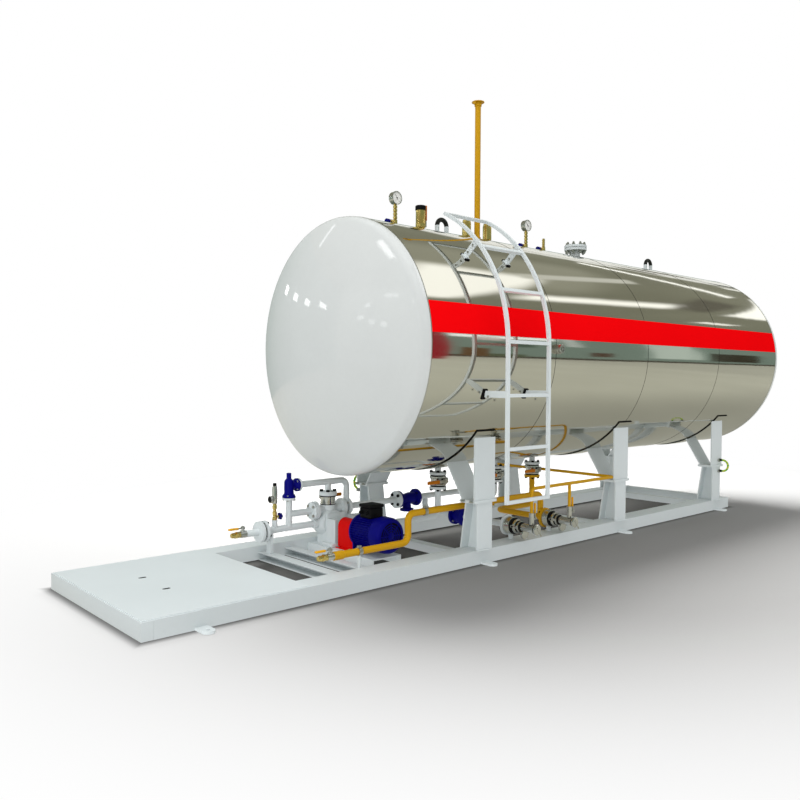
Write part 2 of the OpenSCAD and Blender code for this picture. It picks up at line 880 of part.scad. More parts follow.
module suction_line() {
  color("white") {
    pipe([suction_at, [-valve_a_x, 0, suction_height], [-suction_x, 0, suction_height],
      [-suction_x, line_y, suction_height], [-riser_x, line_y, suction_height],
      [-riser_x, line_y, upper_height], [-safety_x + safety_reach, line_y, upper_height]], pipe_d, bend_r);
    rod([-pump_x, line_y, upper_height], [-pump_x, line_y, inlet_top], pipe_d);
    rod([-pump_x + port_reach, line_y, port_height], [-bypass_front_x, line_y, port_height], pipe_d);
    rod([-bypass_front_x - bypass_flange, line_y, port_height], [-bypass_front_x, line_y, port_height],
      bypass_flange_d);
    rod([-safety_x + safety_reach, line_y, upper_height],
      [-safety_x + safety_reach + safety_flange, line_y, upper_height], safety_flange_d);
  }
}

module discharge_line() {
  color("white") {
    rod([-pump_x - port_reach, line_y, shaft_height], hose_axis, pipe_d);
    rod(hose_axis, hose_axis + [hose_flange_wall * 0.6, 0, 0], hose_flange_d);
    rod([-safety_x, line_y, shaft_height], [-safety_x, line_y, safety_foot], pipe_d);
    rod([-safety_x, line_y, safety_foot - safety_flange], [-safety_x, line_y, safety_foot], safety_flange_d);
    rod([-pump_x - port_reach, line_y, port_height], [-safety_x, line_y, port_height], pipe_d);
    rod([-stub_x, line_y, shaft_height], [-stub_x, line_y, stub_top], stub_d);
  }
}

module safety_valve() {
  p = [-safety_x, line_y, safety_foot];
  color("navy") {
    rod(p, p + [0, 0, safety_flange], safety_flange_d);
    rod(p, p + [0, 0, safety_height], safety_d);
    rod(p, p + [0, 0, safety_height + safety_cap], safety_d / 2);
    rod([-safety_x, line_y, upper_height], [-safety_x + safety_reach, line_y, upper_height], safety_d * 0.8);
    rod([-safety_x + safety_reach - safety_flange, line_y, upper_height],
      [-safety_x + safety_reach, line_y, upper_height], safety_flange_d);
  }
}

module sampling_point() {
  p = [-stub_x, line_y, stub_top];
  color("goldenrod") {
    rod(p, p + [0, 0, needle_height], stub_d * 0.8);
    rod(p, p + [0, 0, needle_height + bottle_height], stub_d * 0.7);
    rod(p + [0, 0, needle_height], p + [0, 0, needle_height + bottle_height * 0.8], stub_d);
    rod(p + [0, 0, needle_height * 0.2], p + [stub_d * 1.4, 0, needle_height * 0.2], stub_d / 2);
    rod(p + [stub_d, 0, needle_height * 0.2], p + [stub_d * 1.4, 0, needle_height * 0.2], stub_d * 1.3);
    rod(p + [0, 0, needle_height * 1.3], p + [-stub_d * 1.1, 0, needle_height * 1.3], stub_d / 2);
    rod(p + [-stub_d * 0.7, 0, needle_height * 1.3], p + [-stub_d * 1.1, 0, needle_height * 1.3],
      stub_d * 1.3);
  }
}

module hose_stub_pipe() {
  color("white") {
    rod(hose_axis - [hose_flange_wall, 0, 0], hose_axis - [hose_flange_wall * 0.4, 0, 0], hose_flange_d);
    rod(hose_axis - [hose_flange_wall, 0, 0], hose_axis, hose_flange_d * 0.8);
    rod([-hose_valve_x, line_y, shaft_height], hose_axis, pipe_d);
  }
}

white_hose_at = [-hose_valve_x, line_y, shaft_height];
yellow_hose_at = [-vapour_hose_x, -vapour_y, vapour_low];

module hose_valve(p) {
  m = p - [hose_valve_length / 2, 0, 0];
  rod(p - [hose_valve_length, 0, 0], p, hose_valve_d);
  rod(m, m + [0, 0, hose_valve_d / 2 + lever_gap / 2], 2 * stem_d);
  rod(m, m + [0, 0, hose_valve_d / 2 + 3 * lever_gap + lever_wall], stem_d);
}

module hose_noses() {
  color("goldenrod") for (p = [white_hose_at, yellow_hose_at]) {
    e = p - [hose_valve_length, 0, 0];
    rod(e - [nose_length, 0, 0], e, nose_d);
    rod(e - [nose_length / 2, 0, 0], e - [nose_length / 4, 0, 0], nose_d * 1.2);
  }
}

module hose_lever(p) {
  c = p + [-hose_valve_length / 2, 0, hose_valve_d / 2 + 2 * lever_gap];
  difference() {
    union() {
      translate(c) cylinder(d = lever_hub_d, h = lever_wall);
      translate(c) block([-small_lever_length, -lever_width / 2, 0], [0, lever_width / 2, lever_wall]);
    }
    translate(c - [0, 0, lever_wall]) cylinder(d = stem_d + 2 * stem_play, h = 3 * lever_wall);
  }
}

module white_hose_lever() {
  color("gold") hose_lever(white_hose_at);
}

module yellow_hose_lever() {
  color("gold") hose_lever(yellow_hose_at);
}

module bypass_valve() {
  z = port_height;
  color("navy") {
    rod([-bypass_front_x, line_y, z], [-bypass_rear_x, line_y, z], bypass_d);
    rod([-bypass_front_x, line_y, z], [-bypass_front_x + bypass_flange, line_y, z], bypass_flange_d);
    rod([-bypass_rear_x - bypass_flange, line_y, z], [-bypass_rear_x, line_y, z], bypass_flange_d);
    rod([-bypass_x, line_y, z - bypass_drop], [-bypass_x, line_y, z], bypass_d * 0.7);
    rod([-bypass_x, line_y, z - bypass_drop], [-bypass_x, line_y, z - bypass_drop + bypass_flange],
      bypass_flange_d * 0.8);
  }
}

module return_line() {
  z = port_height;
  color("white") {
    pipe([[-bypass_rear_x, line_y, z], [-valve_b_x, line_y, z], [-valve_b_x, 0, z], return_at],
      pipe_d, bend_r);
    pipe([[-fill_x, check_length / 2, fill_height], [-fill_x, line_y, fill_height], [-fill_x, line_y, z]],
      pipe_d, bend_r);
    rod([-fill_x, -fill_y, fill_height], [-fill_x, -check_length / 2, fill_height], pipe_d);
    rod([-fill_x, -fill_y, fill_height], [-fill_x, -fill_y + fill_flange_wall, fill_height], fill_flange_d);
  }
}

module check_valve() {
  h = check_length / 2;
  p = [-fill_x, 0, fill_height];
  color("navy") {
    rod(p - [0, h, 0], p + [0, h, 0], check_d * 0.7);
    rod(p - [0, h, 0], p - [0, h - bypass_flange, 0], check_d);
    rod(p + [0, h - bypass_flange, 0], p + [0, h, 0], check_d);
  }
}

module vapour_line() {
  color("gold") {
    pipe([yellow_hose_at, [-vapour_riser_x, -vapour_y, vapour_low],
      [-vapour_riser_x, -vapour_y, vapour_high], [-return_x, -vapour_y, vapour_high],
      [-return_x, -vapour_y, fill_height]], pipe_d, bend_r);
    pipe([vapour_at, [-valve_c_x, 0, fill_height], [-return_x, 0, fill_height],
      [-return_x, -fill_y, fill_height]], pipe_d, bend_r);
    rod([-return_x, -fill_y, fill_height], [-return_x, -fill_y + fill_flange_wall, fill_height],
      fill_flange_d);
  }
}

module bleed_line() {
  color("gold") {
    pipe([[-fill_x, -bleed_y, bleed_valve_top], [-fill_x, -bleed_y, bleed_height],
      [-bleed_cross_x, -bleed_y, bleed_height], [-bleed_cross_x, bleed_far_y, bleed_height],
      [-bleed_cross_x, bleed_far_y, rail_height]], bleed_d, bleed_bend_r);
    rod([-return_x, -bleed_y, bleed_valve_top], [-return_x, -bleed_y, bleed_height], bleed_d);
  }
}

module bleed_valve(x) {
  mid = (bleed_valve_top + fill_height + spout_d / 2) / 2;
  p = [x, -bleed_y, mid];
  rod([x, -bleed_y, fill_height + spout_d / 2 - skin_gap], [x, -bleed_y, bleed_valve_top], bleed_valve_d);
  rod(p, p + [bleed_valve_d / 2 + lever_gap / 2, 0, 0], 1.6 * stem_d);
  rod(p, p + [bleed_valve_d / 2 + 3 * lever_gap + lever_wall, 0, 0], stem_d);
}

module small_valves() {
  color("silver") {
    hose_valve(white_hose_at);
    hose_valve(yellow_hose_at);
  }
  color("silver") difference() {
    union() {
      bleed_valve(-fill_x);
      bleed_valve(-return_x);
    }
    for (x = [-fill_x, -return_x])
      rod([x, -fill_end, fill_height], [x, -fill_y, fill_height], spout_d + clear_bolt);
  }
}

module bleed_lever(x) {
  mid = (bleed_valve_top + fill_height + spout_d / 2) / 2;
  c = [x + bleed_valve_d / 2 + 2 * lever_gap, -bleed_y, mid];
  difference() {
    union() {
      rod(c, c + [lever_wall, 0, 0], lever_hub_d * 0.8);
      translate(c) block([0, -lever_width / 3, 0], [lever_wall, lever_width / 3, small_lever_length]);
    }
    rod(c - [lever_wall, 0, 0], c + [2 * lever_wall, 0, 0], stem_d + 2 * stem_play);
  }
}

module fill_bleed_lever() {
  color("gold") bleed_lever(-fill_x);
}

module vapour_bleed_lever() {
  color("gold") bleed_lever(-return_x);
}

module fill_coupling(x) {
  a = -fill_y;
  b = a - fill_body;
  c = b - collar;
  e = c - spout;
  rod([x, b, fill_height], [x, a, fill_height], fill_body_d);
  rod([x, c, fill_height], [x, a, fill_height], collar_d);
  rod([x, e, fill_height], [x, a, fill_height], spout_d);
  rod([x, e - cap_wall, fill_height], [x, e, fill_height], cap_d);
}

module fill_couplings() {
  color("silver") {
    fill_coupling(-fill_x);
    fill_coupling(-return_x);
  }
}

module pipe_supports() {
  bracket_y = -fill_y - fill_body / 2;
  stand_x = -hose_flange_x + hose_flange_wall + post_d;
  color("white") {
    difference() {
      block([stand_x - post_d / 2, line_y - post_d, beam_height],
        [stand_x + post_d / 2, line_y + post_d, shaft_height]);
      rod([stand_x - post_d, line_y, shaft_height], [stand_x + post_d, line_y, shaft_height],
        pipe_d + clear_bolt);
    }
    difference() {
      union() {
        translate([-clamp_x, -vapour_y, beam_height]) cylinder(d = post_d, h = vapour_low - beam_height);
        block([-clamp_x - post_d / 2, -rail_inner, beam_height],
          [-clamp_x + post_d / 2, -vapour_y, beam_height + bracket_wall]);
      }
      rod([-clamp_x - post_d, -vapour_y, vapour_low], [-clamp_x + post_d, -vapour_y, vapour_low],
        pipe_d + clear_bolt);
    }
    for (x = [-fill_x, -return_x]) difference() {
      block([x - bracket_width / 2, bracket_y - bracket_wall / 2, rail_height],
        [x + bracket_width / 2, bracket_y + bracket_wall / 2, fill_height]);
      rod([x, -fill_end, fill_height], [x, -fill_y, fill_height], fill_body_d + clear_bolt);
    }
  }
}

module earth_bonds() {
  z = splice_height + splice_wall;
  color("yellowgreen") for (q = [[leg_pitch + bond_x, 0], [-leg_pitch - bond_x, 1]]) mirror([0, q[1], 0]) {
    translate([q[0], -skid_half, z]) {
      for (s = [-1, 1]) rod([0, -bond_end, s * bond_r], [0, 0, s * bond_r], bond_d);
      translate([0, -bond_end, 0]) rotate([0, 90, 0]) rotate([0, 0, 180]) rotate_extrude(angle = 180)
        translate([bond_r, 0]) circle(d = bond_d);
    }
  }
}

tank_shell();
front_head();
rear_head();
saddle_pads();
near_rail();
far_rail();
cross_members();
deck_plate();
anchor_lugs();
leg_pedestals();
leg_uprights();
ladder_stiles();
ladder_rungs();
ladder_straps();
gauge_stems();
gauge_dials();
relief_valves();
vent_stack();
lifting_eyes();
blind_nozzle();
side_plug();
pump_base();
motor_frame();
motor_cowl();
terminal_box();
coupling_guard();
pump_casing();
inlet_valve();
inlet_lever();
outlet_valves();
suction_lever();
return_lever();
vapour_lever();
suction_line();
discharge_line();
safety_valve();
sampling_point();
hose_stub_pipe();
small_valves();
hose_noses();
white_hose_lever();
yellow_hose_lever();
bypass_valve();
return_line();
check_valve();
vapour_line();
bleed_line();
fill_bleed_lever();
vapour_bleed_lever();
fill_couplings();
pipe_supports();
earth_bonds();
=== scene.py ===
"""Looks of a horizontal pressure tank on its skid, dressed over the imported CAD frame."""

import json
import math

import bmesh
import bpy
import numpy as np
from bpy.props import FloatProperty, FloatVectorProperty, IntProperty, PointerProperty
from mathutils import Matrix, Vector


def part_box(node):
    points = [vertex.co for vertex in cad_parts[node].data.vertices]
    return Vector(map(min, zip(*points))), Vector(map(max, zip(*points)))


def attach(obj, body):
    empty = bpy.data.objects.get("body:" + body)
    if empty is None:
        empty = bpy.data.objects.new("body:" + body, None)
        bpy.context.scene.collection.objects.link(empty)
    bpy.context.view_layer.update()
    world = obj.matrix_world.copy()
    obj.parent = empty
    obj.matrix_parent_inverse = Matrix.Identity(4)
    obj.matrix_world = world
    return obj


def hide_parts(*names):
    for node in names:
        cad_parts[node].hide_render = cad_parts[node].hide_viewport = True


bl_info = {
    "name": "Pressure tank looks",
    "version": (1, 0, 0),
    "blender": (4, 5, 0),
    "location": "View3D > Sidebar > Tank",
    "description": "Builds the visible surfaces of a skid-mounted pressure tank",
    "category": "Object",
}

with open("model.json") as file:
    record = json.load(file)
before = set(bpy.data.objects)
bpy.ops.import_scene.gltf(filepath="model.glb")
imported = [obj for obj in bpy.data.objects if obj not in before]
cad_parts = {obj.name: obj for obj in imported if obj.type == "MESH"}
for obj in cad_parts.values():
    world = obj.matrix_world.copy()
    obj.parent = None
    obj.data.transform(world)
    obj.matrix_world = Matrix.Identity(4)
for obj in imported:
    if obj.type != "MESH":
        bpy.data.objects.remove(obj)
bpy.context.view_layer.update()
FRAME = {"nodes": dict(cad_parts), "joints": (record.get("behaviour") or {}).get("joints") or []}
PIVOT = {j["child"]: np.array(j["pos_m"], float) for j in FRAME["joints"]}
X, Y, Z = np.eye(3)


def span(node):
    """Lowest and highest corner of a CAD node."""
    low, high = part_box(node)
    return np.array(low), np.array(high)


def middle(node):
    """Middle of a CAD node's box."""
    return np.mean(span(node), 0)


SHELL_LOW, SHELL_HIGH = span("tank_shell")
TANK_R = float(SHELL_HIGH[1])
AXIS = float((SHELL_LOW[2] + SHELL_HIGH[2]) / 2)
CROWN = float(SHELL_HIGH[2])

# Half width of a leg's pedestal, and the height of the pump's ports
PEDESTAL_HALF = 0.070
PORT_HEIGHT = 0.283

# Gland and stem of a flanged ball valve, as radius and reach from the valve's middle
VALVE_STEM = [(0.016, 0.03), (0.016, 0.058), (0.008, 0.060), (0.008, 0.083)]

# Bodies of the levers, by where their valves stand
TANK_LEVERS = ("suction_lever", "return_lever", "vapour_lever")
HOSE_LEVERS = ("white_hose_lever", "yellow_hose_lever")
BLEED_LEVERS = ("fill_bleed_lever", "vapour_bleed_lever")


# Sizes and colours that a user would change

def length(name, note, value):
    """A length in metres."""
    return FloatProperty(name=name, description=note, default=value, min=0.0, precision=4, unit="LENGTH")


def count(name, note, value):
    """A whole number of like things."""
    return IntProperty(name=name, description=note, default=value, min=1)


def colour(name, note, value):
    """A colour in linear red, green and blue."""
    return FloatVectorProperty(name=name, description=note, default=value, min=0.0, max=1.0,
                               subtype="COLOR")


class TankSizes(bpy.types.PropertyGroup):
    """Sizes of the tank's body."""

    band_low: length("Band's lower edge", "Height of the red band's lower edge", 1.423)
    band_high: length("Band's upper edge", "Height of the red band's upper edge", 1.600)
    band_wall: length("Band thickness", "Thickness of the red band", 0.0012)
    seam_pitch: length("Seam pitch", "Distance between the shell's ring seams", 1.118)
    seam_width: length("Seam width", "Width of a ring seam", 0.0036)
    knuckle: length("Knuckle radius", "Knuckle radius of a dished end", 0.054)
    rim: length("Rim", "Straight rim of a dished end", 0.022)
    pad_angle: FloatProperty(name="Pad angle", description="Half angle of a saddle pad",
                             default=math.radians(50), subtype="ANGLE")
    seal: length("Seal bead", "Radius of the seal bead round a saddle pad", 0.0026)


class FittingSizes(bpy.types.PropertyGroup):
    """Sizes of valves, flanges and small fittings."""

    flange: length("Valve flange", "Diameter of a ball valve's flange", 0.120)
    dial: length("Dial", "Diameter of a gauge", 0.088)
    fins: count("Fins", "Cooling fins round the motor", 44)
    long_lever: length("Long lever", "Reach of a lever on a flanged valve", 0.170)
    short_lever: length("Short lever", "Reach of a lever on a hose or bleed valve", 0.100)


class Colours(bpy.types.PropertyGroup):
    """Colours of the paints, metals and plastics."""

    polish: colour("Polished sheet", "Polished stainless sheet", (0.60, 0.59, 0.535))
    gloss: colour("Gloss white", "Gloss paint of the dished ends", (0.76, 0.79, 0.785))
    white: colour("White paint", "Paint of the steelwork", (0.67, 0.725, 0.735))
    yellow: colour("Yellow paint", "Paint of the vapour pipes", (0.56, 0.295, 0.001))
    navy: colour("Navy paint", "Paint of the motor and the valves", (0.001, 0.001, 0.16))
    red: colour("Red", "Coupling guard", (0.70, 0.003, 0.002))
    band: colour("Band red", "Band along the shell", (0.90, 0.002, 0.004))
    brass: colour("Brass", "Brass fittings", (0.84, 0.64, 0.22))
    steel: colour("Steel", "Bare and zinc-plated steel", (0.52, 0.52, 0.50))
    black: colour("Black", "Plastic, rubber and blackened steel", (0.006, 0.006, 0.0065))
    orange: colour("Orange sleeve", "Sleeves of the large levers", (0.52, 0.16, 0.008))
    sleeve: colour("Yellow sleeve", "Sleeves of the small levers", (0.72, 0.36, 0.01))
    knob: colour("Blue knob", "Hand knob of the sampling point", (0.004, 0.003, 0.13))
    dial: colour("Dial white", "Faces of the gauges", (0.86, 0.86, 0.83))
    bond_yellow: colour("Bond yellow", "Yellow stripe of the earth bonds", (0.60, 0.58, 0.02))
    bond_green: colour("Bond green", "Green stripe of the earth bonds", (0.10, 0.44, 0.02))


# Meshes

def unit(vector):
    """A vector scaled to length one."""
    vector = np.asarray(vector, float)
    return vector / np.linalg.norm(vector)


def triad(axis):
    """Two directions square to an axis and the axis itself, right-handed."""
    w = unit(axis)
    u = unit(np.cross(np.eye(3)[np.abs(w).argmin()], w))
    return u, np.cross(w, u), w


def ring(centre, axis, radius, number, phase=0.0):
    """Points spread evenly on a circle: centre + radius * (cos, sin) square to the axis."""
    u, v, _ = triad(axis)
    turn = phase + np.linspace(0, 2 * np.pi, number, endpoint=False)[:, None]
    return np.asarray(centre, float) + radius * (np.cos(turn) * u + np.sin(turn) * v)


class Heap:
    """Gathers grids of points and turns them into one mesh."""

    def __init__(self):
        self.points = []
        self.faces = []
        self.total = 0

    def sheet(self, grid, wrap=False, caps=False):
        """Quads between neighbouring rows and columns of a grid of points.

        Leading dimensions are copies. Wrap joins the last column to the first, caps close the end rows.
        """
        index = self.total + np.arange(grid[..., 0].size).reshape(grid.shape[:-1])
        self.total += index.size
        self.points.append(grid.reshape(-1, 3))
        if caps:
            self.faces += index[..., 0, ::-1].reshape(-1, grid.shape[-2]).tolist()
            self.faces += index[..., -1, :].reshape(-1, grid.shape[-2]).tolist()
        if wrap:
            index = np.concatenate((index, index[..., :1]), -1)
        quads = np.stack((index[..., :-1, :-1], index[..., :-1, 1:], index[..., 1:, 1:],
                          index[..., 1:, :-1]), -1)
        self.faces += quads.reshape(-1, 4).tolist()
        return self

    def lathe(self, base, axis, profile, segments=36, phase=0.0, caps=True):
        """A profile turned about an axis: base + radius * (cos, sin) + height * axis.

        The profile lists (radius, height) upwards on the outside. Base may be an array of places.
        """
        u, v, w = triad(axis)
        turn = phase + np.linspace(0, 2 * np.pi, segments, endpoint=False)[:, None]
        circle = np.cos(turn) * u + np.sin(turn) * v
        line = np.asarray(profile, float)
        form = line[:, 0, None, None] * circle + line[:, 1, None, None] * w
        return self.sheet(np.asarray(base, float)[..., None, None, :] + form, True, caps)

    def hollow(self, base, axis, outer, inner, height, segments=36):
        """A plain ring with a hole, its section a closed rectangle."""
        line = [(inner, 0), (outer, 0), (outer, height), (inner, height), (inner, 0)]
        return self.lathe(base, axis, line, segments, caps=False)

    def nuts(self, places, axis, across, height):
        """Six-sided heads with a turned top edge at every place."""
        r = across / 2
        line = [(r, 0), (r, height * 0.75), (r * 0.84, height)]
        return self.lathe(places, axis, line, 6)

    def studs(self, places, axis, size, height, reach):
        """Threaded ends with a nut under them at every place."""
        self.nuts(places, axis, 1.8 * size, height)
        return self.lathe(places, axis, [(size / 2, 0), (size / 2, reach), (size / 2.6, reach * 1.08)], 8)

    def prism(self, base, u, v, along, outline):
        """An outline in the plane of u and v, drawn out along a third direction."""
        line = np.asarray(outline, float)
        base, u, v, along = (np.asarray(d, float)[..., None, None, :] for d in (base, u, v, along))
        step = np.array((0.0, 1.0))[:, None, None]
        return self.sheet(base + line[:, 0, None] * u + line[:, 1, None] * v + step * along, True, True)

    def slab(self, centre, size, radius, axes=np.eye(3), steps=4):
        """A block with rounded edges: corner + radius * (cos tilt * (cos, sin) turn, sin tilt)."""
        core = np.asarray(size, float) / 2 - radius
        tilt = np.linspace(-90, 90, 2 * steps) * np.pi / 180
        rise = np.where(tilt < 0, -core[2], core[2])
        turn = np.concatenate([np.linspace(q, q + 90, steps) for q in (0, 90, 180, 270)]) * np.pi / 180
        sx = np.repeat((1, -1, -1, 1), steps) * core[0]
        sy = np.repeat((1, 1, -1, -1), steps) * core[1]
        flat = np.cos(tilt)[:, None]
        local = np.stack((sx + radius * flat * np.cos(turn), sy + radius * flat * np.sin(turn),
                          np.broadcast_to((rise + radius * np.sin(tilt))[:, None],
                                          (tilt.size, turn.size))), -1)
        return self.sheet(np.asarray(centre, float) + local @ np.asarray(axes), True, True)

    def tube(self, path, radius, square, segments=12):
        """A circle carried along a flat path: path + radius * (cos * square + sin * sideways)."""
        path = np.asarray(path, float)
        ahead = np.gradient(path, axis=0)
        ahead /= np.linalg.norm(ahead, axis=1)[:, None]
        side = np.cross(ahead, square)
        turn = np.linspace(0, 2 * np.pi, segments, endpoint=False)
        grid = path[:, None] + radius * (np.cos(turn)[None, :, None] * np.asarray(square)
                                         + np.sin(turn)[None, :, None] * side[:, None])
        return self.sheet(grid, True, True)

    def piece(self, name, finish, slot, body="skid", stands_for=(), crease=32):
        """One smooth object made of all that was gathered, riding on a body."""
        mesh = bpy.data.meshes.new(name)
        mesh.from_pydata(np.concatenate(self.points).tolist(), [], self.faces)
        form = bmesh.new()
        form.from_mesh(mesh)
        bmesh.ops.remove_doubles(form, verts=form.verts, dist=1e-6)
        form.to_mesh(mesh)
        form.free()
        mesh.shade_smooth()
        mesh.set_sharp_from_angle(angle=math.radians(crease))
        mesh.materials.append(finish)
        thing = bpy.data.objects.new(name, mesh)
        bpy.context.scene.collection.objects.link(thing)
        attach(thing, body)
        if stands_for:
            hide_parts(*stands_for)
        return thing


# Finishes

class Term:
    """A shader value; arithmetic on it adds Math nodes."""

    def __init__(self, finish, socket):
        self.finish = finish
        self.socket = socket

    def _join(self, operation, first, second):
        return self.finish.node("ShaderNodeMath", {"operation": operation}, {0: first, 1: second})

    def __add__(self, other):
        return self._join("ADD", self, other)

    __radd__ = __add__

    def __sub__(self, other):
        return self._join("SUBTRACT", self, other)

    def __rsub__(self, other):
        return self._join("SUBTRACT", other, self)

    def __mul__(self, other):
        return self._join("MULTIPLY", self, other)

    __rmul__ = __mul__


class Finish:
    """A material with one Principled shader and the patterns that feed it."""

    def __init__(self, name, **plain):
        self.material = bpy.data.materials.new(name)
        self.material.use_nodes = True
        self.tree = self.material.node_tree
        self.shader = self.tree.nodes["Principled BSDF"]
        for socket, value in plain.items():
            self.shader.inputs[socket.replace("_", " ")].default_value = value

    def node(self, kind, settings=None, sockets=None, output=0):
        """Any node: its settings first, then the values or links of its sockets."""
        made = self.tree.nodes.new(kind)
        for key, value in (settings or {}).items():
            setattr(made, key, value)
        for key, value in (sockets or {}).items():
            self.feed(made.inputs[key], value)
        return Term(self, made.outputs[output])

    def feed(self, socket, value):
        """Links a term to a socket, or sets a plain value on it."""
        if isinstance(value, Term):
            self.tree.links.new(value.socket, socket)
        else:
            socket.default_value = value

    def place(self, stretch=(1, 1, 1)):
        """Object coordinates, stretched."""
        spot = self.node("ShaderNodeTexCoord", output="Object")
        return self.node("ShaderNodeMapping", None, {"Vector": spot, "Scale": stretch})

    def noise(self, scale, detail=3.0, stretch=(1, 1, 1)):
        """Cloudy value from 0 to 1."""
        return self.node("ShaderNodeTexNoise", None,
                         {"Vector": self.place(stretch), "Scale": scale, "Detail": detail})

    def height(self, axis="Z"):
        """One object coordinate."""
        spot = self.node("ShaderNodeTexCoord", output="Object")
        return self.node("ShaderNodeSeparateXYZ", None, {0: spot}, axis)

    def step(self, value, low, high):
        """0 below low, 1 above high, eased between."""
        return self.node("ShaderNodeMapRange", {"interpolation_type": "SMOOTHSTEP"},
                         {0: value, 1: low, 2: high, 3: 0.0, 4: 1.0})

    def mix(self, factor, first, second):
        """A colour between two colours."""
        ends = [c if isinstance(c, Term) else (*c, 1.0) for c in (first, second)]
        return self.node("ShaderNodeMix", {"data_type": "RGBA"}, {0: factor, 6: ends[0], 7: ends[1]}, 2)

    def bump(self, height, distance, strength=1.0):
        """Raises the surface by a height pattern."""
        slope = self.node("ShaderNodeBump", None,
                          {"Height": height, "Distance": distance, "Strength": strength})
        self.feed(self.shader.inputs["Normal"], slope)
        return self

    def set(self, socket, value):
        """Feeds one of the shader's own sockets."""
        self.feed(self.shader.inputs[socket], value)
        return self


def shade(tint, share):
    """A colour scaled towards black or white."""
    return tuple(min(1.0, c * share) for c in tint)


def paint(name, tint, rough, coat=0.0, grime=0.86, peel=0.0004, shine=0.5, clear=0.12):
    """Sprayed paint: cloudy tone, a little grime low down, uneven gloss and orange peel."""
    finish = Finish(name, Coat_Weight=coat, Coat_Roughness=clear, Specular_IOR_Level=shine)
    cloud = finish.noise(2.3, 4.0)
    fine = finish.noise(34.0, 3.0)
    tone = finish.mix(cloud * 0.7 + fine * 0.3, shade(tint, 0.93), shade(tint, 1.05))
    dust = (1 - finish.step(finish.height(), 0.0, 0.10)) * finish.step(fine, 0.55, 0.85) * 0.4
    finish.set("Base Color", finish.mix(dust, tone, shade(tint, grime)))
    finish.set("Roughness", rough + 0.14 * (fine - 0.5))
    return finish.bump(finish.noise(260.0, 2.0), peel, 0.35)


def metal(name, tint, rough, grain=90.0, stretch=(1, 1, 1)):
    """Bare metal: tone and gloss drift over the surface, with a fine turned grain."""
    finish = Finish(name)
    cloud = finish.noise(14.0, 4.0)
    lines = finish.noise(grain, 2.0, stretch)
    finish.set("Base Color", finish.mix(cloud, shade(tint, 0.8), shade(tint, 1.12)))
    finish.set("Metallic", 1.0)
    finish.set("Roughness", rough + 0.16 * (lines - 0.5))
    return finish.bump(lines, 0.0003, 0.3)


def moulded(name, tint, rough):
    """Plastic or rubber with a fine moulded grain and rubbed lighter patches."""
    finish = Finish(name, Specular_IOR_Level=0.08)
    worn = finish.step(finish.noise(22.0, 5.0), 0.5, 0.8)
    finish.set("Base Color", finish.mix(worn * 0.5, tint, tuple(c * 1.3 + 0.006 for c in tint)))
    finish.set("Roughness", rough + 0.2 * (finish.noise(60.0) - 0.5))
    return finish.bump(finish.noise(420.0, 2.0), 0.0003, 0.4)


def polished(name, tint):
    """Mirror-polished sheet: slow waves of the rolled plate and a faint haze."""
    finish = Finish(name)
    cloud = finish.noise(0.8, 3.0)
    haze = finish.noise(5.0, 5.0, (0.4, 1, 3))
    finish.set("Base Color", finish.mix(cloud, shade(tint, 0.94), shade(tint, 1.06)))
    finish.set("Metallic", 1.0)
    finish.set("Roughness", 0.035 + 0.05 * haze)
    wave = finish.noise(1.5, 2.0, (1.2, 1, 1))
    return finish.bump(wave, 0.006, 0.25)


def two_tone(name, tint, dark, level, rough):
    """Painted bar whose upper part, above a level, is dark."""
    finish = paint(name, tint, rough)
    under = finish.mix(finish.noise(30.0), shade(tint, 0.92), tint)
    edge = finish.height() + 0.004 * finish.noise(120.0)
    finish.set("Base Color", finish.mix(finish.step(edge, level, level + 0.003), under, dark))
    return finish


def striped(name, first, second, pitch):
    """Sheath with slanting stripes of two colours."""
    finish = Finish(name, Roughness=0.5)
    band = finish.node("ShaderNodeTexWave", {"wave_type": "BANDS", "bands_direction": "DIAGONAL"},
                       {"Vector": finish.place(), "Scale": 1 / pitch, "Distortion": 0.4})
    finish.set("Base Color", finish.mix(finish.step(band, 0.45, 0.55), first, second))
    return finish.bump(finish.noise(300.0), 0.0002, 0.4)


FINISH = {}


def make_finishes(c):
    """All materials, named for what they coat."""
    FINISH.update({name: made.material for name, made in {
        "polish": polished("polished_sheet", c.polish),
        "gloss": paint("gloss_white", c.gloss, 0.50, coat=1.0, grime=0.97, shine=0.1, clear=0.04),
        "white": paint("steelwork_white", c.white, 0.42),
        "yellow": paint("pipe_yellow", c.yellow, 0.42, shine=0.2),
        "navy": paint("machine_navy", c.navy, 0.40, shine=0.08),
        "red": paint("signal_red", c.red, 0.44, shine=0.06),
        "band": paint("band_red", c.band, 0.60, grime=0.95, peel=0.0002, shine=0.0),
        "brass": metal("turned_brass", c.brass, 0.26),
        "steel": metal("zinc_steel", c.steel, 0.30),
        "bright": metal("valve_steel", shade(c.steel, 1.25), 0.20),
        "black": moulded("black_plastic", c.black, 0.48),
        "seal": moulded("seal_rubber", c.black, 0.62),
        "orange": moulded("orange_sleeve", c.orange, 0.42),
        "sleeve": moulded("yellow_sleeve", c.sleeve, 0.42),
        "knob": moulded("blue_knob", c.knob, 0.40),
        "dial": paint("dial_white", c.dial, 0.30, coat=0.6),
        "eye": two_tone("eye_two_tone", c.white, c.black, CROWN + 0.066, 0.42),
        "bond": striped("bond_sheath", c.bond_yellow, c.bond_green, 0.05),
    }.items()})


def coat(finish, *nodes):
    """Gives CAD nodes a finish through their material slots."""
    for node in nodes:
        slots = FRAME["nodes"][node].material_slots
        for entry in slots:
            entry.material = FINISH[finish]


# Pieces

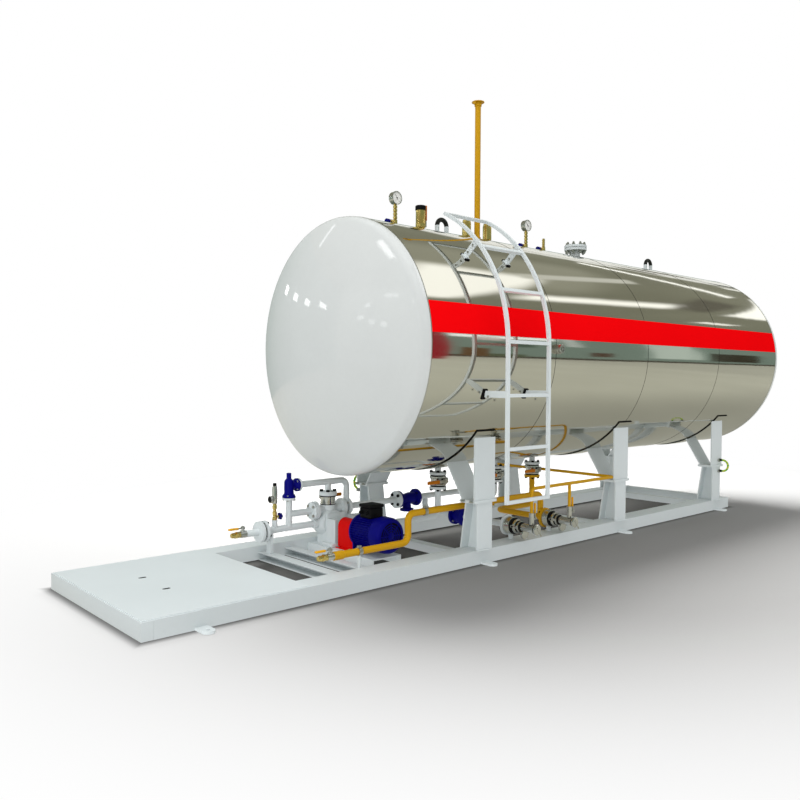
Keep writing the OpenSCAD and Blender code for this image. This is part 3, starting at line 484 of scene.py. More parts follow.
class PieceOperator:
    """What every piece's operator shares."""

    bl_options = {"REGISTER", "UNDO"}

    def execute(self, context):
        """Builds the piece from the scene's sizes."""
        scene = context.scene
        self.build(scene.tank_sizes, scene.fitting_sizes, scene.tank_colours)
        return {"FINISHED"}


class TANK_OT_finishes(PieceOperator, bpy.types.Operator):
    """Makes the paints, metals and plastics"""

    bl_idname = "tank.finishes"
    bl_label = "Finishes"

    def build(self, tank, fitting, colours):
        """Materials first, because every piece takes one."""
        make_finishes(colours)


class TANK_OT_shell(PieceOperator, bpy.types.Operator):
    """Polished shell with its ring seams and the red band on both sides"""

    bl_idname = "tank.shell"
    bl_label = "Shell and band"

    def build(self, tank, fitting, colours):
        """The shell is a turned sheet, a seam a thin ring, the band a strip of the same curve."""
        start = np.array((SHELL_LOW[0], 0, AXIS))
        run = float(SHELL_HIGH[0] - SHELL_LOW[0])
        wall = 0.010
        line = [(TANK_R - wall, 0), (TANK_R - 0.001, 0), (TANK_R, 0.001), (TANK_R, run / 2),
                (TANK_R, run - 0.001), (TANK_R - 0.001, run), (TANK_R - wall, run), (TANK_R - wall, 0)]
        shell = Heap().lathe(start, X, line, 256, caps=False)
        shell.piece("polished_shell", FINISH["polish"], "polished_shell", stands_for=["tank_shell"])
        seams = Heap()
        w = tank.seam_width / 2
        rise = 0.0010
        profile = [(TANK_R - rise, -w), (TANK_R + rise, -w * 0.5), (TANK_R + rise, w * 0.5),
                   (TANK_R - rise, w)]
        places = np.array([(i * tank.seam_pitch, 0, AXIS) for i in (-1, 0, 1)])
        seams.lathe(places, X, profile, 192, caps=False)
        seams.piece("ring_seams", FINISH["seal"], "black_plastic")
        self.band(tank)

    def band(self, tank):
        """A strip on the shell: radius * (cos, sin) between two heights, with its own edges."""
        low, high = (math.asin((z - AXIS) / TANK_R) for z in (tank.band_low, tank.band_high))
        out = TANK_R + tank.band_wall
        turn = np.linspace(low, high, 25)
        radius = np.concatenate(([TANK_R], np.full(25, out), [TANK_R]))
        turn = np.concatenate(([low], turn, [high]))
        x = np.linspace(SHELL_LOW[0] + 0.002, SHELL_HIGH[0] - 0.002, 41)
        strip = Heap()
        for side in (-1, 1):
            grid = np.stack(np.broadcast_arrays(x[:, None], side * radius * np.cos(turn),
                                                AXIS + radius * np.sin(turn)), -1)
            strip.sheet(grid[:, ::-side])
        strip.piece("red_band", FINISH["band"], "red_paint")


class TANK_OT_ends(PieceOperator, bpy.types.Operator):
    """Dished ends in gloss white"""

    bl_idname = "tank.ends"
    bl_label = "Dished ends"

    def build(self, tank, fitting, colours):
        """Rim, knuckle arc and crown arc turned about the tank's axis."""
        low, high = span("front_head")
        depth = float(high[0] - low[0]) - tank.rim
        k = tank.knuckle
        reach = TANK_R - k
        crown = (depth * depth - k * k + reach * reach) / (2 * (depth - k)) if depth > k else TANK_R
        drop = crown - depth
        lean = math.atan2(drop, reach)
        a = np.linspace(0, lean, 14)
        b = np.linspace(lean, math.pi / 2, 40)[1:]
        knuckle = np.stack((reach + k * np.cos(a), k * np.sin(a)), 1)
        dome = np.stack((crown * np.cos(b), crown * np.sin(b) - drop), 1)
        line = np.concatenate(([[TANK_R - 0.02, -tank.rim], [TANK_R - 0.0006, -tank.rim]], knuckle, dome))
        for node, way in (("front_head", -1), ("rear_head", 1)):
            face = SHELL_LOW[0] if way < 0 else SHELL_HIGH[0]
            base = np.array((face + way * tank.rim, 0, AXIS))
            end = Heap().lathe(base, way * X, line, 192, caps=False)
            end.piece(node + "_dish", FINISH["gloss"], "white_gloss", stands_for=[node])
        edge = Heap()
        ends = np.array([(SHELL_LOW[0], 0, AXIS), (SHELL_HIGH[0], 0, AXIS)])
        edge.lathe(ends, X, [(TANK_R - 0.001, -0.004), (TANK_R + 0.0014, -0.0025),
                             (TANK_R + 0.0014, 0.0025), (TANK_R - 0.001, 0.004)], 192, caps=False)
        edge.piece("end_joints", FINISH["steel"], "steel")


class TANK_OT_pads(PieceOperator, bpy.types.Operator):
    """Polished saddle pads with a dark seal bead round each"""

    bl_idname = "tank.pads"
    bl_label = "Saddle pads"

    def build(self, tank, fitting, colours):
        """A pad is a strip of a cylinder under the shell; its bead follows the edge."""
        outer = float(AXIS - span("saddle_pads")[0][2])
        width = self.width()
        turn = np.linspace(-tank.pad_angle, tank.pad_angle, 65)
        half, under, edge = width / 2, TANK_R + 0.0005, 0.001
        section = np.array([(-half, under), (-half, outer - edge), (-half + edge, outer),
                            (half - edge, outer), (half, outer - edge), (half, under)])
        pads = Heap()
        beads = Heap()
        for x in self.places():
            grid = np.stack(np.broadcast_arrays(x + section[:, 0], np.sin(turn)[:, None] * section[:, 1],
                                                AXIS - np.cos(turn)[:, None] * section[:, 1]), -1)
            pads.sheet(grid, True, True)
            self.bead(beads, x, half + tank.seal * 0.6, tank.pad_angle + tank.seal / TANK_R, tank.seal)
        pads.piece("polished_pads", FINISH["polish"], "polished_shell", stands_for=["saddle_pads"])
        beads.piece("pad_seals", FINISH["seal"], "black_plastic")

    @staticmethod
    def places():
        """The legs' places along the tank."""
        low, high = span("leg_pedestals")
        half = (high[0] - low[0]) / 2 - PEDESTAL_HALF
        return (-half, 0.0, half)

    @staticmethod
    def width():
        """Width of a pad, from the outer faces of the pads and the legs' spacing."""
        low, high = span("saddle_pads")
        return float(high[0] - low[0]) - 2 * TANK_OT_pads.places()[2]

    @staticmethod
    def bead(heap, x, half, angle, size):
        """A half-round bead on the shell along two arcs and two straight ends."""
        turn = np.linspace(-angle, angle, 65)
        lift = TANK_R + 0.004
        for side in (-1, 1):
            arc = np.stack((np.full(65, x + side * half), lift * np.sin(turn),
                            AXIS - lift * np.cos(turn)), 1)
            heap.tube(arc, size, X, 8)
            end = np.array((0, math.sin(side * angle), -math.cos(angle)))
            line = np.array((x, 0, AXIS)) + lift * end + np.linspace(-half, half, 3)[:, None] * X
            heap.tube(line, size, end, 8)


class TANK_OT_skid(PieceOperator, bpy.types.Operator):
    """Painted skid, deck, legs and their fasteners"""

    bl_idname = "tank.skid"
    bl_label = "Skid and legs"

    def build(self, tank, fitting, colours):
        """CAD steelwork keeps its shape; bolts, weld beads and black slabs of painted shade in the deck's
        slots are added.
        """
        self.beams()
        coat("white", "near_rail", "far_rail", "deck_plate", "anchor_lugs", "leg_pedestals",
             "leg_uprights", "pump_base", "pipe_supports")
        half, top = (float(v) for v in span("leg_pedestals")[1][1:])
        bolts = Heap()
        welds = Heap()
        for x in TANK_OT_pads.places():
            for side in (-1, 1):
                spots = np.array([(x + dx, side * (half - dy), top) for dx in (-0.078, 0.078)
                                  for dy in (0.028, 0.098)])
                bolts.nuts(spots, Z, 0.024, 0.011)
                bolts.lathe(spots, Z, [(0.016, -0.0005), (0.016, 0.003)], 16)
                start = np.array((x - PEDESTAL_HALF, side * half, 0.088))
                self.weld(welds, start, 2 * PEDESTAL_HALF * X, side * -Y)
        deck = float(span("deck_plate")[1][2])
        # Black slabs just under the deck's top fill its two slots: painted shade in the holes.
        slot_x = -3.471
        slot_shade = Heap()
        for slot_y in (0.147, -0.141):
            slot_shade.slab((slot_x, slot_y, deck - 0.0018), (0.043, 0.021, 0.003), 0.001)
        slot_shade.piece("slot_liners", FINISH["black"], "black_plastic")
        bolts.piece("splice_bolts", FINISH["steel"], "steel")
        welds.piece("foot_welds", FINISH["white"], "white_paint")

    @staticmethod
    def beams():
        """Boxes for end members and leg beams, and two channels, open to the front, before the pump."""
        low, high = (np.array(v, float) for v in span("cross_members"))
        inner = -float(span("near_rail")[1][1])
        end_width, half, top, wall = 0.060, 0.035, 0.052, 0.008
        heap = Heap()

        def bar(x0, x1, reach, z0, z1):
            heap.slab(((x0 + x1) / 2, 0, (z0 + z1) / 2), (x1 - x0, 2 * reach, z1 - z0), 0.0015)

        bar(low[0], low[0] + end_width, high[1], 0, high[2])
        bar(high[0] - end_width, high[0], high[1], 0, high[2])
        for x in TANK_OT_pads.places():
            bar(x - half, x + half, inner, 0, top)
        for x in (-2.540, -2.335):
            bar(x - half, x + half, inner, top - wall, top)
            bar(x - half, x + half, inner, 0, 0.006)
            bar(x + half - wall, x + half, inner, 0.005, 0.045)
        heap.piece("cross_beams", FINISH["white"], "white_paint", stands_for=["cross_members"])

    @staticmethod
    def weld(heap, start, run, inward):
        """A rippled bead: a half circle along a line, its radius swelling with every ripple."""
        s = np.linspace(0, 1, 61)[:, None]
        a = np.linspace(0, np.pi, 7)[None, :]
        r = 0.0045 + 0.0008 * np.abs(np.sin(s * 15 * np.pi))
        rise = (r * np.sin(a))[..., None] * Z
        grid = start + s[..., None] * run + (r * np.cos(a))[..., None] * inward + rise
        flip = np.dot(np.cross(run, inward), Z) < 0
        heap.sheet(grid[:, ::-1] if flip else grid)


class TANK_OT_ladder(PieceOperator, bpy.types.Operator):
    """Painted ladder with bolted strap feet"""

    bl_idname = "tank.ladder"
    bl_label = "Ladder"

    def build(self, tank, fitting, colours):
        """Each strap end sits on a thin black slab on the shell."""
        coat("white", "ladder_stiles", "ladder_rungs", "ladder_straps")
        low, high = span("ladder_stiles")
        half, below_axis = 0.010, 0.284
        feet = Heap()
        bolts = Heap()
        drop = math.asin(below_axis / TANK_R)
        for x in (low[0] + half, high[0] - half):
            for angle in (-drop, math.radians(43)):
                out = np.array((0, -math.cos(angle), math.sin(angle)))
                up = np.array((0, math.sin(angle), math.cos(angle)))
                axes = np.array((X, up, np.cross(X, up)))
                foot = np.array((x, 0, AXIS)) + out * (TANK_R + 0.003)
                feet.slab(foot, (0.034, 0.066, 0.007), 0.002, axes)
                side = foot - 0.0036 * X
                bolts.nuts(side + out * np.array([[0.036], [0.090]]), -X, 0.015, 0.006)
        feet.piece("strap_feet", FINISH["black"], "black_plastic")
        bolts.piece("strap_bolts", FINISH["steel"], "steel")


class TANK_OT_top(PieceOperator, bpy.types.Operator):
    """Gauges, relief valves, vent, eyes and nozzle along the crown"""

    bl_idname = "tank.top"
    bl_label = "Top fittings"

    def build(self, tank, fitting, colours):
        """Each kind of fitting is a turned form with its small parts."""
        self.gauges(fitting)
        self.reliefs()
        self.vent()
        self.nozzle()
        coat("eye", "lifting_eyes")
        low, high = span("side_plug")
        spot = np.array((middle("side_plug")[0], high[1], AXIS))
        plug = Heap()
        reach = float(high[1] - low[1])
        plug.lathe(spot, -Y, [(0.032, -0.004), (0.032, 0.022), (0.030, 0.024), (0.029, 0.024),
                              (0.028, reach - 0.006), (0.025, reach - 0.003), (0.017, reach - 0.003),
                              (0.016, reach - 0.008)], 48)
        plug.lathe(spot, -Y, [(0.012, 0.020), (0.012, reach - 0.003), (0.009, reach)], 6)
        plug.piece("side_plug_hex", FINISH["steel"], "steel", stands_for=["side_plug"])

    def gauges(self, fitting):
        """Brass stem with a cock and knob, and a dial with bezel, face, ticks and needle."""
        low, high = span("gauge_dials")
        r = fitting.dial / 2
        z = float((low[2] + high[2]) / 2)
        deep = float(high[1] - low[1])
        stems, dials, faces, marks, knobs = (Heap() for _ in range(5))
        xs = (float(low[0]) + r, float(high[0]) - r)
        for x in xs:
            base = np.array((x, 0, CROWN))
            self.cock(stems, knobs, base, z - CROWN - r, 0.014)
            centre = np.array((x, 0, z))
            back = centre + deep / 2 * Y
            face = back - (deep - 0.0045) * Y
            dials.lathe(back, -Y, [(r * 0.86, 0), (r * 0.95, 0.003), (r * 0.95, deep - 0.010),
                                   (r, deep - 0.008), (r, deep - 0.002), (r * 0.95, deep), (r * 0.90, deep),
                                   (r * 0.88, deep - 0.004)], 48, caps=False)
            dials.lathe(back, -Y, [(r * 0.2, -0.0005), (r * 0.86, 0)], 48)
            faces.lathe(face, -Y, [(r * 0.89, 0), (r * 0.89, 0.0006)], 48)
            turn = np.radians(np.linspace(225, -45, 28))[:, None]
            out = np.cos(turn) * X + np.sin(turn) * Z
            side = np.cross(-Y, out)
            longer = np.where(np.arange(28) % 3 == 0, 0.66, 0.74)[:, None] * r
            self.ticks(marks, face - 0.0007 * Y, out, side, longer, 0.84 * r, 0.0007)
            needle = math.radians(130)
            tip = math.cos(needle) * X + math.sin(needle) * Z
            marks.prism(face - 0.0017 * Y - 0.3 * r * tip, tip, np.cross(-Y, tip), -0.001 * Y,
                        [(0, -0.0016), (1.0 * r, -0.0004), (1.0 * r, 0.0004), (0, 0.0016)])
            marks.lathe(face - 0.0007 * Y, -Y, [(0.004, 0), (0.004, 0.0026)], 16)
        tap = np.array((span("gauge_stems")[1][0] - 0.020, 0, CROWN))
        self.cock(stems, knobs, tap, float(span("gauge_stems")[1][2] - CROWN) * 0.78, 0.012)
        stems.piece("gauge_cocks", FINISH["brass"], "brass", stands_for=["gauge_stems"])
        dials.piece("gauge_cases", FINISH["bright"], "steel", stands_for=["gauge_dials"])
        faces.piece("gauge_faces", FINISH["dial"], "white_paint")
        marks.piece("gauge_marks", FINISH["black"], "black_plastic")
        knobs.piece("gauge_knobs", FINISH["navy"], "navy_paint")

    @staticmethod
    def cock(stems, knobs, base, tall, r):
        """A foot, a tee, a beaded stem up to a height, and a side arm that ends in a hand knob."""
        foot = 0.052
        starts = np.linspace(foot, tall, 5)[:-1]
        step = (tall - foot) / 4
        beads = np.array([(0.62, 0.0), (1.0, 0.16), (1.0, 0.80), (0.62, 0.96)])
        rise = (starts[:, None] + beads[None, :, 1] * step).ravel()
        wide = np.tile(beads[:, 0], 4) * r
        line = [(0.024, -0.004), (0.024, 0.010), (0.019, 0.012), (0.019, 0.018), (0.015, 0.020),
                (0.015, foot - 0.004)]
        stem = np.concatenate((line, np.stack((wide, rise), 1), [(r * 0.8, tall + 0.004)]))
        stems.lathe(base, Z, stem, 24)
        arm = base + 0.031 * Z
        stems.lathe(arm, -X, [(0.012, 0), (0.012, 0.026), (0.0155, 0.027), (0.0155, 0.040), (0.010, 0.042),
                              (0.010, 0.056)], 24)
        angle = np.linspace(0, 2 * np.pi, 48, endpoint=False)
        lobe = 0.0165 + 0.0010 * np.cos(8 * angle)
        knobs.prism(arm - 0.054 * X, Y, Z, -0.025 * X,
                    np.stack((-lobe * np.cos(angle), lobe * np.sin(angle)), 1))

    @staticmethod
    def ticks(heap, centre, out, side, start, end, half):
        """Thin bars pointing outward on a dial, from start to end."""
        heap.sheet(np.stack([np.stack((centre + start * out - half * side,
                                       centre + end * out - half * side), 1),
                             np.stack((centre + start * out + half * side,
                                       centre + end * out + half * side), 1)], 1))

    def reliefs(self):
        """Turned brass bodies on a foot ring; the first has a dark cap and a test lever."""
        low, high = span("relief_valves")
        tall = float(high[2]) - CROWN
        first = np.array((float(low[0]) + 0.036, 0, CROWN))
        places = np.array([(middle("vent_stack")[0] - 0.112, 0, CROWN), (float(high[0]) - 0.032, 0, CROWN)])
        body, caps = Heap(), Heap()
        foot = [(0.030, -0.004), (0.034, 0.004), (0.034, 0.012), (0.024, 0.015), (0.024, 0.022),
                (0.0315, 0.026)]
        body.lathe(places, Z, [*foot, (0.032, 0.030), (0.032, 0.122), (0.031, 0.125), (0.029, 0.126),
                               (0.029, 0.137), (0.026, 0.1415)], 40)
        body.lathe(first, Z, [*foot, (0.0335, 0.030), (0.0335, 0.058), (0.0325, 0.060),
                              (0.0325, tall - 0.034), (0.029, tall - 0.030)], 40)
        caps.lathe(first, Z, [(0.030, tall - 0.0335), (0.0355, tall - 0.032), (0.036, tall - 0.029),
                              (0.036, tall - 0.006), (0.033, tall - 0.0015), (0.028, tall)], 40)
        body.piece("relief_bodies", FINISH["brass"], "brass", stands_for=["relief_valves"])
        caps.piece("relief_cap", FINISH["black"], "black_plastic")
        lever, link = Heap(), Heap()
        lever.slab(first + (0.0455, -0.004, tall - 0.046), (0.013, 0.018, 0.104), 0.005)
        link.slab(first + (0.0445, -0.004, 0.060), (0.009, 0.014, 0.050), 0.003)
        link.lathe(first + 0.048 * Z, X, [(0.007, 0.030), (0.007, 0.050), (0.005, 0.052)], 16)
        lever.piece("relief_test_lever", FINISH["orange"], "orange_sleeve")
        link.piece("relief_lever_link", FINISH["bright"], "steel")

    def vent(self):
        """Yellow pipe with a base collar and a rain flap on a small hinge."""
        low, high = span("vent_stack")
        mid = middle("vent_stack")
        base = np.array((mid[0], mid[1], low[2]))
        tall = float(high[2] - low[2])
        stack = Heap()
        stack.lathe(base, Z, [(0.036, 0), (0.036, 0.010), (0.027, 0.014), (0.027, 0.030), (0.021, 0.034),
                              (0.021, tall - 0.034), (0.026, tall - 0.032), (0.026, tall - 0.010),
                              (0.021, tall - 0.009)], 40)
        stack.lathe(base, Z, [(0.043, tall - 0.008), (0.046, tall - 0.006), (0.045, tall - 0.002),
                              (0.020, tall)], 40)
        stack.slab(base + (-0.036, 0, tall - 0.016), (0.014, 0.022, 0.016), 0.003)
        stack.piece("vent_pipe", FINISH["yellow"], "yellow_paint", stands_for=["vent_stack"])

    def nozzle(self):
        """Neck and two flanges with a gasket between them, held by a ring of studs."""
        low, high = span("blind_nozzle")
        mid = middle("blind_nozzle")
        base = np.array((mid[0], mid[1], low[2]))
        tall = float(high[2] - low[2])
        r = float(high[0] - low[0]) / 2
        body, gasket, studs = Heap(), Heap(), Heap()
        wall = 0.0205
        first = tall - 2 * wall - 0.003
        body.lathe(base, Z, [(0.050, -0.002), (0.040, 0.012), (0.038, 0.020), (0.038, first - 0.016),
                             (0.046, first), (r - 0.002, first), (r, first + 0.002),
                             (r, first + wall - 0.002), (r - 0.002, first + wall)], 56)
        body.lathe(base, Z, [(r - 0.002, tall - wall), (r, tall - wall + 0.002), (r, tall - 0.002),
                             (r - 0.002, tall), (r * 0.5, tall), (r * 0.48, tall - 0.001)], 56)
        gasket.lathe(base, Z, [(r * 0.68, first + wall), (r * 0.68, tall - wall)], 48)
        spots = ring(base, Z, r * 0.80, 8, math.radians(22.5))
        studs.nuts(spots + (first - 0.016) * Z, Z, 0.030, 0.0162)
        studs.studs(spots + (tall - 0.0002) * Z, Z, 0.016, 0.014, 0.024)
        studs.lathe(spots + (first - 0.028) * Z, Z, [(0.006, 0), (0.008, 0.003), (0.008, 0.014)], 10)
        body.piece("blind_flanges", FINISH["white"], "white_paint", stands_for=["blind_nozzle"])
        gasket.piece("nozzle_gasket", FINISH["seal"], "black_plastic")
        studs.piece("nozzle_studs", FINISH["steel"], "steel")


class TANK_OT_pump(PieceOperator, bpy.types.Operator):
    """Finned motor, fan cover, terminal box, coupling guard and pump"""

    bl_idname = "tank.pump"
    bl_label = "Pump set"

    def build(self, tank, fitting, colours):
        """All forms stand about the shaft, whose place comes from the fan cover's box."""
        low, high = span("motor_cowl")
        shaft = np.array((middle("motor_cowl")[0], 0, middle("motor_cowl")[2]))
        self.motor(shaft, fitting)
        self.cover(shaft, low, high)
        self.box()
        self.guard(shaft)
        self.casing(shaft)

    def motor(self, shaft, fitting):
        """A barrel with thin fins along it, end shields, and cast feet."""
        low, high = span("motor_frame")
        near, far = float(low[1]), float(high[1])
        r = float(high[2] - shaft[2])
        core = r * 0.90
        run = far - near
        frame = Heap()
        frame.lathe(shaft + near * Y, Y, [(core, 0.0), (core, run - 0.004), (core * 0.97, run)], 64)
        rim = r * 0.985
        frame.lathe(shaft + near * Y, Y, [(core, 0.001), (rim, 0.002), (rim, 0.016), (core, 0.018)], 64)
        frame.lathe(shaft + (far - 0.028) * Y, Y,
                    [(core, 0.0), (rim, 0.002), (rim, 0.018), (r * 0.90, 0.025), (r * 0.55, 0.028)], 64)
        turn = np.linspace(0, 2 * np.pi, fitting.fins, endpoint=False) + np.pi / fitting.fins
        turn = turn[(np.abs(np.cos(turn)) > 0.55)][:, None]
        out = np.cos(turn) * X + np.sin(turn) * Z
        frame.prism(shaft + (near + 0.015) * Y + core * out, out, np.cross(Y, out), (run - 0.040) * Y,
                    [(-0.004, -0.0024), (r - core, -0.0012), (r - core, 0.0012), (-0.004, 0.0024)])
        foot = r * 2 / 3
        for s in (-1, 1):
            mid = shaft + (s * foot, (near + far) / 4, 0)
            frame.slab((mid[0], mid[1], low[2] + 0.007), (foot, run / 2 - 0.004, 0.014), 0.004)
            for y in (-0.036, 0.036):
                frame.slab((mid[0] - s * 0.012, mid[1] + y, low[2] + 0.036), (0.044, 0.014, 0.062), 0.004)
        frame.piece("motor_barrel", FINISH["navy"], "navy_paint", stands_for=["motor_frame"])
        bolts = Heap()
        spots = np.array([(shaft[0] + s * r * 0.88, (near + far) / 4 + y, low[2] + 0.0135)
                          for s in (-1, 1) for y in (-0.018, 0.018)])
        bolts.nuts(spots, Z, 0.018, 0.010)
        bolts.piece("motor_foot_bolts", FINISH["steel"], "steel")

    def cover(self, shaft, low, high):
        """A pressed cover with a round grille of rings and spokes in its end."""
        near, far = float(low[1]), float(high[1])
        r = float(high[0] - low[0]) / 2
        deep = far - near
        shell = Heap()
        shell.lathe(shaft + near * Y, Y,
                    [(r * 0.74, 0.006), (r * 0.74, 0.0), (r * 0.84, 0.001), (r * 0.92, 0.006),
                     (r * 0.97, 0.016), (r * 0.99, 0.030), (r, deep - 0.020), (r, deep),
                     (r * 0.96, deep)], 64, caps=False)
        for share in (0.20, 0.33, 0.46, 0.60):
            shell.hollow(shaft + (near + 0.002) * Y, Y, share * r + 0.003, share * r - 0.003, 0.003, 48)
        turn = np.radians(np.arange(0, 360, 45))[:, None]
        out = np.cos(turn) * X + np.sin(turn) * Z
        shell.prism(shaft + (near + 0.0015) * Y + 0.15 * r * out, out, np.cross(Y, out), 0.004 * Y,
                    [(0, -0.003), (0.60 * r, -0.003), (0.60 * r, 0.003), (0, 0.003)])
        hub = [(0.16 * r, 0), (0.19 * r, 0.002), (0.19 * r, 0.006)]
        shell.lathe(shaft + (near + 0.001) * Y, Y, hub, 32)
        shell.piece("fan_cover", FINISH["navy"], "navy_paint", stands_for=["motor_cowl"])
        dark = Heap()
        dark.lathe(shaft + (near + 0.016) * Y, Y, [(r * 0.90, 0), (r * 0.90, 0.004)], 48)
        dark.piece("fan_shadow", FINISH["black"], "black_plastic")

    def box(self):
        """Cast terminal box with a screwed lid and two cable glands."""
        low, high = span("terminal_box")
        mid, size = (low + high) / 2, high - low
        box, screws, glands = Heap(), Heap(), Heap()
        lid = 0.022
        box.slab((mid[0], mid[1], mid[2] - lid / 2), (size[0] * 0.92, size[1] * 0.92, size[2] - lid), 0.012)
        box.slab((mid[0], mid[1], high[2] - lid / 2), (size[0], size[1], lid), 0.010)
        corner = np.array([(sx * (size[0] / 2 - 0.013), sy * (size[1] / 2 - 0.013), 0)
                           for sx in (-1, 1) for sy in (-1, 1)])
        screws.lathe(np.array((mid[0], mid[1], high[2] - 0.0015)) + corner, Z,
                     [(0.005, 0), (0.005, 0.0012), (0.003, 0.0015)], 12)
        for y in (-0.028, 0.028):
            spot = np.array((low[0] + 0.006, mid[1] + y, mid[2] - 0.006))
            glands.lathe(spot, -X, [(0.014, 0), (0.014, 0.009), (0.011, 0.011)], 6)
            glands.lathe(spot, -X, [(0.010, 0.009), (0.010, 0.018), (0.007, 0.021)], 20)
        box.piece("terminal_housing", FINISH["black"], "black_plastic", stands_for=["terminal_box"])
        screws.piece("terminal_screws", FINISH["black"], "black_plastic")
        glands.piece("terminal_glands", FINISH["black"], "black_plastic")

    def guard(self, shaft):
        """Bent sheet over the coupling: an arch section drawn along the shaft, with flanged feet."""
        low, high = span("coupling_guard")
        half = float(high[0] - low[0]) / 2
        near, far = float(low[1]), float(high[1])
        turn = np.radians(np.linspace(0, 180, 33))
        arch = np.stack((half * np.cos(turn), half * np.sin(turn)), 1)
        foot = float(low[2] - shaft[2])
        line = np.concatenate(([(half, foot)], arch, [(-half, foot)]))
        guard, bolts = Heap(), Heap()
        guard.prism(shaft + far * Y, X, Z, (near - far) * Y, line)
        for y in (near, far - 0.006):
            guard.prism(shaft + (y + 0.006) * Y, X, Z, -0.006 * Y, line * (1.012, 1.012))
        for s in (-1, 1):
            guard.slab((shaft[0] + s * (half + 0.010), (near + far) / 2, low[2] + 0.003),
                       (0.024, far - near, 0.006), 0.002)
            spots = np.array([(shaft[0] + s * (half + 0.012), y, low[2] + 0.006)
                              for y in (near + 0.02, far - 0.02)])
            bolts.nuts(spots, Z, 0.014, 0.007)
        guard.piece("coupling_cover", FINISH["red"], "red_paint", stands_for=["coupling_guard"])
        bolts.piece("guard_bolts", FINISH["steel"], "steel")

    def casing(self, shaft):
        """A swelling casing, a bolted bracket plate on a pad, and bolts on the port flanges."""
        coat("white", "pump_casing")
        low, high = span("pump_casing")
        y, port = float(high[1]) - 0.066, PORT_HEIGHT
        trim, bolts = Heap(), Heap()
        trim.lathe(shaft + (y - 0.066) * Y, Y,
                   [(0.070, -0.002), (0.085, 0.006), (0.092, 0.026), (0.096, 0.052), (0.096, 0.080),
                    (0.092, 0.106), (0.085, 0.126), (0.070, 0.134), (0.046, 0.135), (0.044, 0.146),
                    (0.030, 0.147)], 56)
        bolts.nuts(ring(shaft + (y + 0.068) * Y, Y, 0.060, 8, 0.3), Y, 0.014, 0.008)
        plate, bracket_x = y - 0.073, shaft[0] + 0.008
        trim.slab((bracket_x, plate, 0.163), (0.150, 0.012, 0.206), 0.004)
        trim.slab((shaft[0], y - 0.116, 0.071), (0.196, 0.124, 0.022), 0.004)
        spots = np.array([(bracket_x + s * 0.062, plate - 0.006, z)
                          for s in (-1, 1) for z in (0.142, 0.226)])
        bolts.nuts(spots, -Y, 0.017, 0.010)
        left, right = float(low[0]), float(high[0])
        trim.lathe((left, y, port), -X, [(0.056, 0), (0.058, 0.002), (0.058, 0.014), (0.055, 0.016),
                                         (0.030, 0.020)], 48)
        trim.hollow((right + 0.030, y, port), X, 0.058, 0.022, 0.018, 48)
        for x in (left - 0.0155, right + 0.0305):
            bolts.nuts(ring((x, y, port), X, 0.042, 4, math.pi / 4), -X, 0.021, 0.010)
        trim.piece("pump_covers", FINISH["white"], "white_paint")
        bolts.piece("pump_bolts", FINISH["steel"], "steel")


